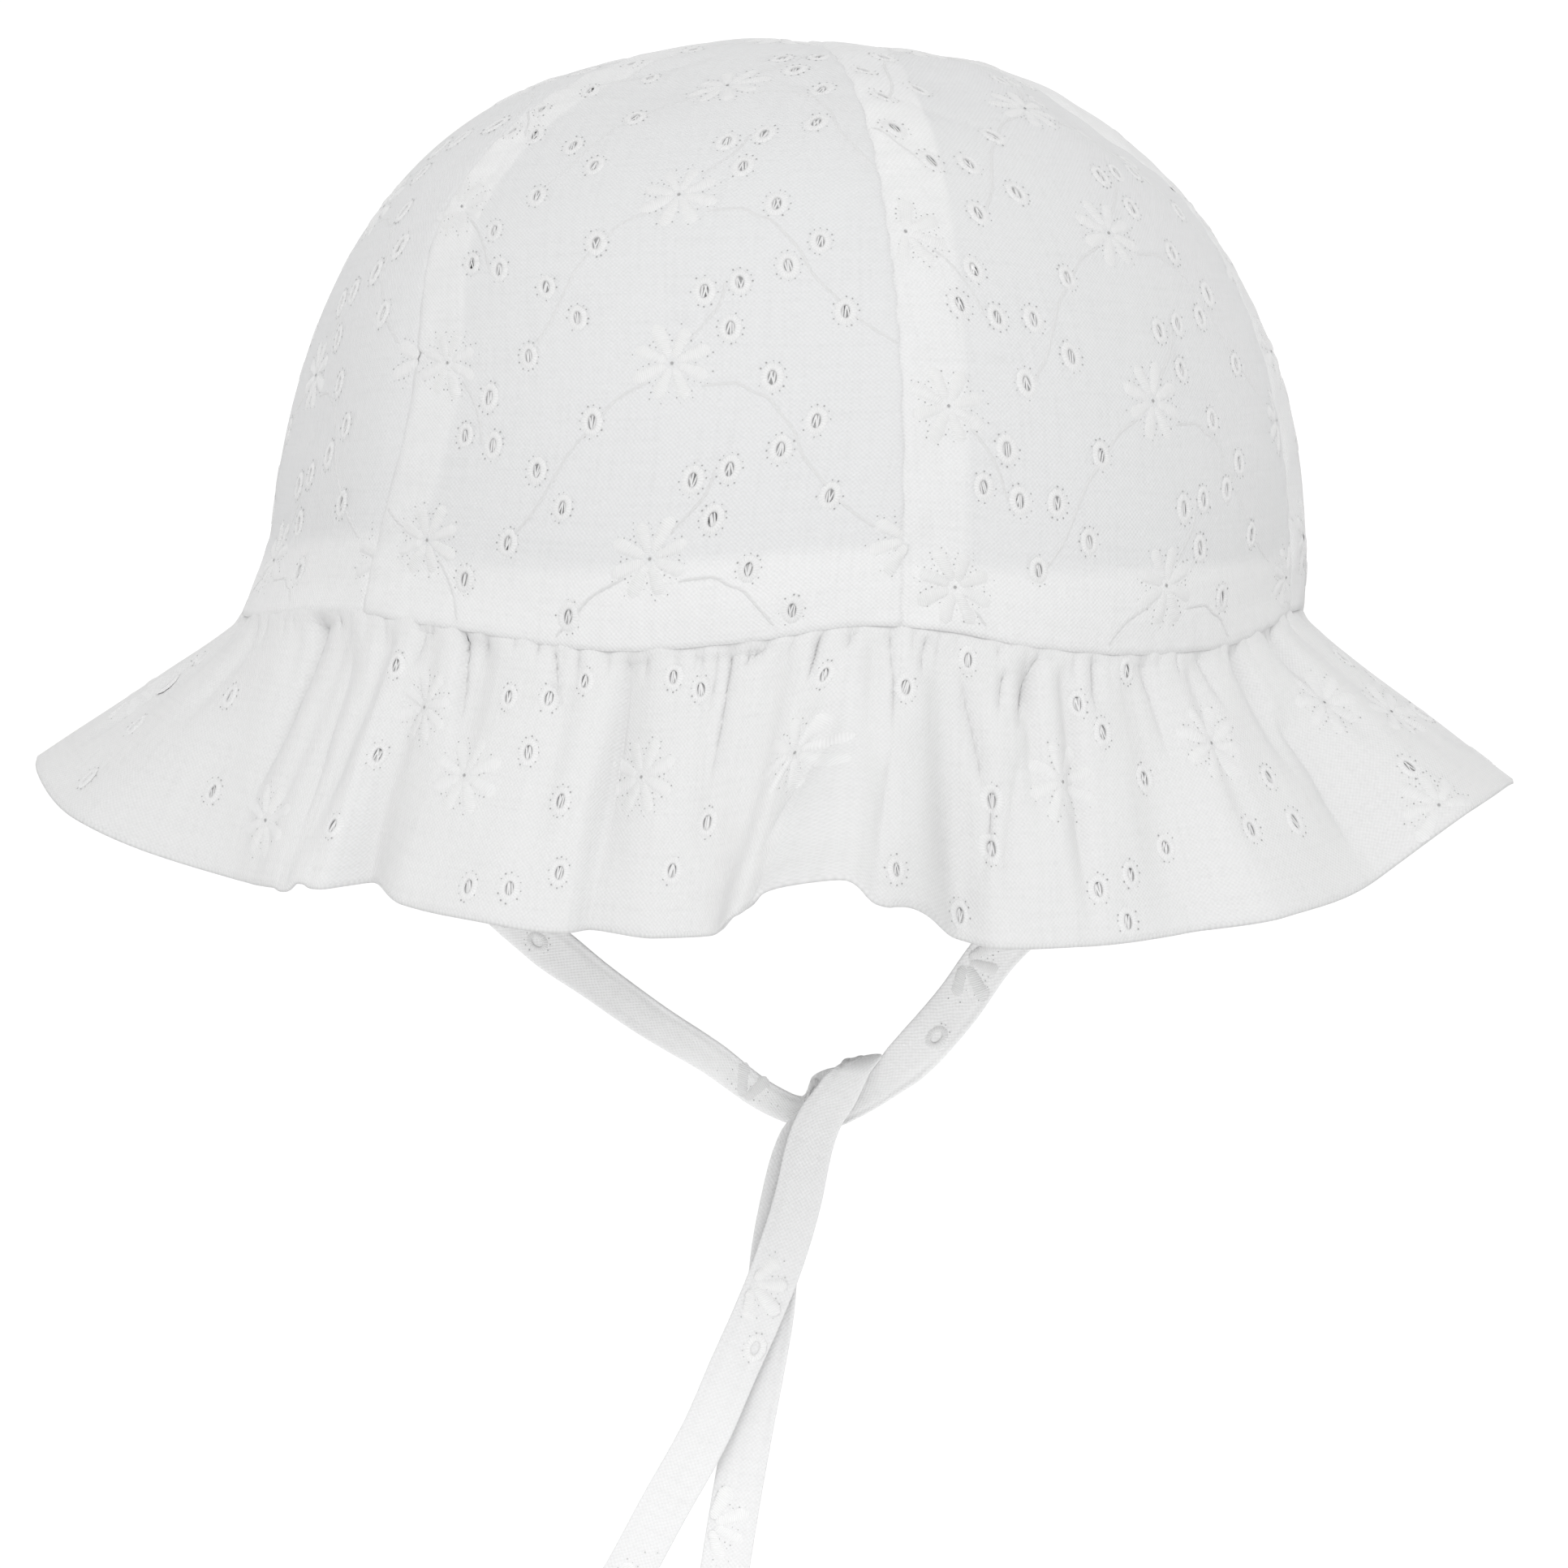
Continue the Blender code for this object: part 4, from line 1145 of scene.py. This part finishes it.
def cloth_material(name, thin, backed_and_painted_light_colour):
    """Plain woven cotton. Thin is its colour alone; the second colour is the cotton over another
    layer, and on the ties it is painted light for the arms in the brim's shade.
    """
    pitch = WEAVE_PITCH
    made, tree, shader = new_material(name, Roughness=0.88, Specular_IOR_Level=0.22,
                                      Sheen_Weight=0.10, Sheen_Roughness=0.5)
    uv, side, rise = cloth_places(tree)
    wander = math_node(tree, "MULTIPLY", noise_node(tree, uv, 420.0), 1.6 * pitch)
    across = math_node(tree, "ADD", side, wander)
    up = math_node(tree, "ADD", rise, wander)
    warp = math_node(tree, "SINE", math_node(tree, "MULTIPLY", across, math.pi / pitch))
    weft = math_node(tree, "SINE", math_node(tree, "MULTIPLY", up, math.pi / pitch))
    weave = math_node(tree, "MULTIPLY", warp, weft)
    warp_slub = noise_node(tree, uv, 1.0, (1.0 / (2.2 * pitch), 55.0, 1.0))
    weft_slub = noise_node(tree, uv, 1.0, (55.0, 1.0 / (2.2 * pitch), 1.0))
    slub = math_node(tree, "ADD", warp_slub, weft_slub)
    # The shade is the yarns' own unevenness, plus a small painted shade from the weave, darker
    # where its relief is low and lighter where it is high.
    shade = math_node(tree, "ADD", ramp_value(tree, slub, 0.93, 1.04),
                      math_node(tree, "MULTIPLY", weave, 0.035))
    # The attribute mixes in the second colour: another layer of cloth behind, and on the ties
    # painted light on the arms.
    backing_and_painted_light = add_node(tree, "ShaderNodeAttribute", attribute_name="backing_and_painted_light").outputs["Fac"]
    colour = add_node(tree, "ShaderNodeMix", data_type="RGBA")
    colour.inputs["A"].default_value = (*thin, 1.0)
    colour.inputs["B"].default_value = (*backed_and_painted_light_colour, 1.0)
    tree.links.new(backing_and_painted_light, colour.inputs["Factor"])
    tint = add_node(tree, "ShaderNodeVectorMath", operation="SCALE")
    tree.links.new(colour.outputs["Result"], tint.inputs[0])
    tree.links.new(shade, tint.inputs["Scale"])
    tree.links.new(tint.outputs[0], shader.inputs["Base Color"])
    crumple = bump_node(tree, noise_node(tree, uv, 190.0, detail=4.0), 0.5, 0.35 * MM)
    height = math_node(tree, "ADD", weave, math_node(tree, "MULTIPLY", slub, 1.5))
    tree.links.new(bump_node(tree, height, 0.45, 0.06 * MM, crumple), shader.inputs["Normal"])
    return made


def thread_material(name, colour):
    """Glossy cotton thread in close satin stitches."""
    made, tree, shader = new_material(name, Roughness=0.55, Specular_IOR_Level=0.4,
                                      Sheen_Weight=0.2)
    uv, side, _ = cloth_places(tree)
    wander = math_node(tree, "MULTIPLY", noise_node(tree, uv, 2.0), 0.7)
    place = math_node(tree, "ADD", side, wander)
    ridge = math_node(tree, "SINE", math_node(tree, "MULTIPLY", place, 2.0 * math.pi))
    ridge_share = math_node(tree, "ADD", math_node(tree, "MULTIPLY", ridge, 0.5), 0.5)
    # Painted shade: the thread's colour is a little darker in the grooves between the satin
    # stitches.
    shade = ramp_value(tree, ridge_share, 0.93, 1.0)
    tint = add_node(tree, "ShaderNodeVectorMath", operation="SCALE")
    tint.inputs[0].default_value = colour
    tree.links.new(shade, tint.inputs["Scale"])
    tree.links.new(tint.outputs[0], shader.inputs["Base Color"])
    tree.links.new(bump_node(tree, ridge, 0.5, 0.04 * MM), shader.inputs["Normal"])
    return made


def plain_material(name, colour, glow=0.0):
    """A dull, even colour that can glow in white."""
    return new_material(name, Base_Color=(*colour, 1.0), Roughness=1.0, Specular_IOR_Level=0.0,
                        Emission_Color=(1.0, 1.0, 1.0, 1.0), Emission_Strength=glow)[0]


# The hat's pieces

def make_crown(cloth, thread, pricks):
    random = np.random.default_rng(SEED + 1)
    for number in range(PANELS):
        panel = Panel(number)
        columns, rows = FRONT_PANEL_GRID if number in FRONT_PANELS else BACK_PANEL_GRID
        share, up = np.meshgrid(np.linspace(-1.0, 1.0, columns),
                                np.linspace(0.0, panel.heights[-1], rows))
        across = share * (panel.half(up) + 0.05 * MM)
        eyelets, daisies, lines = panel_pattern(panel)
        top = panel.heights[-1] - 9.0 * MM
        eyelets = [place for place in eyelets if 3.0 * MM < place[1] < top
                   and abs(place[0]) < panel.half(place[1]) - SMALLEST_MARGIN]
        daisies = [place for place in daisies if -2.0 * MM < place[1] < top
                   and abs(place[0]) < panel.half(place[1]) + 3.0 * MM]

        def inside(side, height, panel=panel):
            edge = panel.half(height) - 0.9 * MM
            low, high = 1.6 * MM, panel.heights[-1] - 4.0 * MM
            return (np.abs(side) < edge) & (height > low) & (height < high)

        moved_across, moved_up, keep = open_eyelets(across, up, eyelets, np.ones(len(eyelets)))
        points = panel.surface(moved_across, moved_up)
        flat = np.stack([moved_across, moved_up], -1)
        name = "crown_panel_%d" % (number + 1)
        made = shell("cloth_" + name, points, flat, CLOTH_WALL, cloth, keep=keep,
                     backing_and_painted_light=panel.backing_and_painted_light(moved_across, moved_up))
        threads = Embroidery(panel.surface, CLOTH_WALL)
        needles = Embroidery(panel.surface, CLOTH_WALL)
        doubled = [place for place in eyelets if place[1] < FACING + 2.0 * MM
                   or panel.half(place[1]) + place[0] < ALLOWANCE + 1.0 * MM]
        threads.add(PATCH, np.array(column(doubled, 0)), np.array(column(doubled, 1)))
        sew_pattern(threads, needles, random, eyelets, daisies, lines, inside)
        sewn = threads.build("embroidery_%d" % (number + 1), thread)
        dots = needles.build("needle_holes_%d" % (number + 1), pricks)
        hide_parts(name)


def make_inner_bands(cloth):
    steps = np.linspace(0.0, 1.0, BAND_STEPS)
    for number in range(PANELS):
        panel = Panel(number)
        rises = np.linspace(*FOLD_RISES, 60)
        halves = np.interp(rises, panel.rises, panel.halves)
        heights = np.interp(rises, panel.rises, panel.heights)
        share = np.minimum(ALLOWANCE / (2.0 * halves), 0.40)
        start = FOLD_GAP / (2.0 * halves)
        turns = (start[:, None] + share[:, None] * steps[None]) * 360.0 / PANELS
        points = dome_point(seam_angle(number) + turns, rises[:, None], FOLD_INSET)
        flat = np.stack(np.broadcast_arrays(steps[None] * ALLOWANCE, heights[:, None]), -1)
        made = shell("cloth_seam_fold_%d" % (number + 1), points, flat, CLOTH_WALL, cloth)
        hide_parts("seam_fold_%d" % (number + 1))
    angles = np.linspace(-180.0, 180.0, FACING_COLUMNS + 1)[:-1]
    rises = FACING_START + steps * FACING_SPAN
    points = dome_point(angles[None], rises[:, None], FACING_INSET)
    length = math.pi * (CROWN_WIDTH + CROWN_DEPTH) / 2
    across = np.linspace(0.0, length, FACING_COLUMNS + 1)
    flat = np.stack(np.broadcast_arrays(across[None], steps[:, None] * FACING), -1)
    made = shell("cloth_facing_band", points, flat, CLOTH_WALL, cloth, closed=True)
    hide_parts("facing_band")


def make_brim(cloth, thread, pricks):
    random = np.random.default_rng(SEED + 2)
    edge = BRIM_FRONT_EDGE
    front = np.linspace(-edge, edge, BRIM_FRONT_COLUMNS, endpoint=False)
    back = np.linspace(edge, 360.0 - edge, BRIM_BACK_COLUMNS, endpoint=False)
    levels = np.concatenate([1.0 - np.linspace(0.0, 1.0, BRIM_ROWS), BRIM_TURNED_UP])
    angle, level = np.meshgrid(np.concatenate([front, back]), levels)
    pace = BRIM_STRIP / 360.0
    eyelets = [(a * pace, -l * BRIM_WIDTH) for a, l in BRIM_EYELETS]
    daisies = [(a * pace, -l * BRIM_WIDTH) for a, l in BRIM_DAISIES]
    for k, across in enumerate(np.arange(72.0 * pace, 288.0 * pace, BACK_STRIP_STEP)):
        base = np.array([across, -(16.0 if k % 2 else 22.0) * MM])
        daisies.append(base)
        for place in SECOND_EYELETS if k % 2 else FIRST_EYELETS:
            spot = base + np.array(place) * MM
            if -36.5 * MM < spot[1] < -3.5 * MM and k % 2 + abs(place[0]) < 16.0:
                eyelets.append(spot)

    def surface(side, height, out=0.0):
        return brim_point(side / pace, -height / BRIM_WIDTH, out)

    stretches = stretch_of(surface, np.array(column(eyelets, 0)), np.array(column(eyelets, 1)))
    across, up, keep = open_eyelets(angle * pace, -level * BRIM_WIDTH, eyelets, stretches)
    points = surface(across, up)
    closing = np.concatenate([across, across[:, :1] + BRIM_STRIP], 1)
    flat = np.stack([closing, np.concatenate([up, up[:, :1]], 1)], -1)
    keep = np.concatenate([keep, np.ones((keep.shape[0], 1), bool)], 1)
    made = shell("cloth_brim", points, flat, BRIM_WALL, cloth, closed=True, keep=keep,
                 backing_and_painted_light=np.ones(points.shape[:2]))
    threads = Embroidery(surface, BRIM_WALL)
    needles = Embroidery(surface, BRIM_WALL)

    def inside(side, height):
        return (height < -2.0 * MM) & (height > -BRIM_WIDTH + 1.0 * MM)

    threads.add(PATCH, np.array(column(eyelets, 0)), np.array(column(eyelets, 1)))
    sew_pattern(threads, needles, random, eyelets, daisies, [], inside)
    sewn = threads.build("embroidery_brim", thread)
    dots = needles.build("needle_holes_brim", pricks)
    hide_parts("brim")


def tie_line(angle, turn, route, tail):
    """Centre, lean, turn and half width along a tie, every row a bend."""
    def at_height(height):
        low, high = 0.0, 0.5
        edge = dome_point(angle, 0.0, TIE_SEAT_INSET)[2]
        for _ in range(24):
            middle = (low + high) / 2
            if dome_point(angle, middle, TIE_SEAT_INSET)[2] - edge < height:
                low = middle
            else:
                high = middle
        return dome_point(angle, low, TIE_SEAT_INSET)

    rows = [(*at_height(height), 0.0, turn, TIE_WIDTH / 2)
            for height in (TIE_SEWN_HEIGHT, TIE_SEWN_HEIGHT / 2, 0.0)]
    below = rows[-1]
    rows.append((below[0], below[1], below[2] - TIE_SEWN_HEIGHT, 0.0, turn, TIE_WIDTH / 2))
    for across, forward, drop, lean, row_turn, share in route:
        rows.append((across * CROWN_WIDTH / 2, -forward * KNOT_FORWARD, -drop * KNOT_DROP,
                     lean, row_turn, share * TIE_WIDTH / 2))
    for across, forward, along, lean, share in tail:
        rows.append((across * CROWN_WIDTH / 2, -forward * KNOT_FORWARD,
                     -KNOT_DROP - along * TAIL_LENGTH, lean, 0.0, share * TIE_WIDTH / 2))
    return np.array(rows, float)


def make_tie(name, seam, turn, route, tail, cloth, thread, pricks):
    rows = tie_line(seam_angle(seam), turn, route, tail)
    lengths = running_length(rows[:, :3])
    at = np.linspace(0.0, lengths[-1], TIE_ROWS)
    values = [smooth_curve(lengths, rows[:, k], at) for k in range(6)]
    centre = np.stack(values[:3], -1)
    lean = np.radians(values[3])
    turns = np.radians(values[4])
    side = np.stack([np.cos(lean) * np.cos(turns), -np.cos(lean) * np.sin(turns),
                     np.sin(lean)], -1)
    along = unit(np.gradient(centre, axis=0))
    out = unit(np.cross(side, along))
    steps = TIE_AROUND
    around = 2.0 * np.pi * np.arange(steps) / steps
    share = np.sign(np.cos(around)) * np.abs(np.cos(around)) ** 0.7
    thick = np.sign(np.sin(around)) * np.abs(np.sin(around)) ** 0.5
    stitched = 1.0 - 0.5 * np.exp(-((share - TIE_STITCH_SHARE) / 0.05) ** 2)
    ripple = 0.12 * np.sin(at[:, None] / (7.3 * MM) + 2.0 * share[None]) * np.abs(share[None])
    fine = 0.05 * np.sin(at[:, None] / (1.9 * MM) + 5.0 * share[None])
    ripple = ripple + fine * (share[None] > 0.5)
    height = (thick * stitched)[None] * TIE_WALL / 2 + ripple * MM
    half = values[5]
    points = centre[:, None] + side[:, None] * (half[:, None] * share[None])[..., None]
    points = points + out[:, None] * height[..., None]
    steps_round = np.hypot(np.diff(share, append=share[0]) * TIE_WIDTH / 2,
                           np.diff(thick, append=thick[0]) * TIE_WALL / 2)
    spread = np.concatenate([[0.0], np.cumsum(steps_round)])
    flat = np.stack(np.broadcast_arrays(spread[None], at[:, None]), -1)
    low, k = np.meshgrid(np.arange(len(at) - 1), np.arange(steps), indexing="ij")
    low, k = low.ravel(), k.ravel()
    numbers = np.arange(len(at) * steps).reshape(-1, steps)
    faces = quad_corners(numbers, low, k, (k + 1) % steps)
    corners = quad_corners(flat, low, k, k + 1)
    knot = lengths[len(rows) - len(tail)]
    # Painted light: the ties' arms, down to the knot, take the lighter second colour to make up
    # for the shade under the brim; the tails keep the first colour.
    backing_and_painted_light = 1.0 - soft_step(knot - 20.0 * MM, knot + 20.0 * MM, at)
    made = mesh_object("cloth_" + name, points.reshape(-1, 3), faces.tolist(),
                       corners.reshape(-1, 2), cloth, np.repeat(backing_and_painted_light, steps))
    random = np.random.default_rng(SEED + 10 + seam)
    for face, word in ((1.0, "front"), (-1.0, "back")):
        def surface(across, up, lift=0.0, face=face):
            place, aside, outward = (
                np.stack([np.interp(up, at, part[:, k]) for k in range(3)], -1)
                for part in (centre, side, out))
            narrow = np.interp(up, at, half) * 2.0 / TIE_WIDTH
            moved = face * across * narrow
            raised = face * (TIE_WALL / 2 + lift) + np.zeros_like(across)
            return place + aside * moved[..., None] + outward * raised[..., None]

        def inside(across, up):
            clear = (up < knot - 26.0 * MM) | (up > knot + 4.0 * MM)
            shown = (up > 30.0 * MM) & (up < at[-1] - 1.0 * MM)
            return (np.abs(across) < TIE_WIDTH / 2 - 1.2 * MM) & shown & clear

        threads = Embroidery(surface, 0.0)
        needles = Embroidery(surface, 0.0)
        starts = np.arange(0.036 + 0.006 * face, at[-1] - 0.004, TIE_REPEAT)
        daisies = [(random.choice((-1.0, 1.0)) * random.uniform(2.6, 4.2) * MM, up)
                   for up in starts]
        eyelets = [(random.uniform(-1.6, 1.6) * MM, up + random.uniform(8.0, 12.0) * MM)
                   for up in starts[:-1]]
        sew_pattern(threads, needles, random, eyelets, daisies, [], inside)
        threads.build("embroidery_%s_%s" % (name, word), thread)
        needles.build("needle_holes_%s_%s" % (name, word), pricks)
    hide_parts(name)


# Stage, light and camera

def make_stage():
    steps = 12
    profile = [(0.0, FLOOR_Z)]
    for k in range(steps + 1):
        turn = math.pi / 2 * k / steps
        profile.append((STAGE_RADIUS - STAGE_BEND + STAGE_BEND * math.sin(turn),
                        FLOOR_Z + STAGE_BEND * (1.0 - math.cos(turn))))
    profile.append((STAGE_RADIUS, FLOOR_Z + STAGE_TOP))
    sides = 96
    points = []
    for radius, height in profile:
        for k in range(sides):
            turn = 2.0 * math.pi * k / sides
            points.append((radius * math.cos(turn), radius * math.sin(turn), height))
    mesh = bpy.data.meshes.new("floor")
    mesh.from_pydata(points, [], grid_faces(len(profile), sides, True))
    mesh.materials.append(plain_material("pale_floor", (0.93, 0.93, 0.93), FLOOR_GLOW))
    mesh.shade_smooth()
    made = new_object("floor", mesh)


def aim(item, target):
    way = Vector(target) - item.location
    item.rotation_euler = way.to_track_quat("-Z", "Y").to_euler()


def make_camera():
    data = bpy.data.cameras.new("camera")
    data.sensor_width = SENSOR
    data.lens = SENSOR * CAMERA_DISTANCE / FRAME_WIDTH
    made = new_object("camera", data)
    rise = math.radians(CAMERA_RISE)
    back = Vector((0.0, -math.cos(rise), math.sin(rise)))
    made.location = Vector(CAMERA_TARGET) + back * CAMERA_DISTANCE
    aim(made, CAMERA_TARGET)
    bpy.context.scene.camera = made


def make_light():
    world = bpy.data.worlds.new("studio")
    world.use_nodes = True
    background = world.node_tree.nodes["Background"]
    background.inputs["Color"].default_value = (1.0, 1.0, 1.0, 1.0)
    background.inputs["Strength"].default_value = WORLD_LIGHT
    bpy.context.scene.world = world
    data = bpy.data.lights.new("key", "AREA")
    data.energy = KEY_POWER
    data.size = KEY_SIZE
    key = new_object("key", data)
    key.location = KEY_PLACE
    aim(key, CAMERA_TARGET)
    key.visible_camera = False
    bpy.context.scene.view_settings.view_transform = "Standard"


def main():
    make_camera()
    make_stage()
    make_light()
    cottons = {word: cloth_material(word + "_cotton_weave", *tones)
               for word, tones in COTTONS.items()}
    pricks = plain_material("needle_hole_shade", NEEDLE_SHADE)
    make_crown(cottons["eyelet"], thread_material("satin_thread", SATIN_THREAD), pricks)
    make_inner_bands(cottons["plain"])
    make_brim(cottons["brim"], thread_material("brim_thread", BRIM_THREAD), pricks)
    looks = (cottons["tie"], thread_material("tie_thread", TIE_THREAD),
             plain_material("tie_needle_hole_shade", FAINT_NEEDLE_SHADE))
    make_tie("tie_left", LEFT_TIE_SEAM, LEFT_TIE_TURN, LEFT_TIE, LEFT_TAIL, *looks)
    make_tie("tie_right", RIGHT_TIE_SEAM, RIGHT_TIE_TURN, RIGHT_TIE, RIGHT_TAIL, *looks)


main()
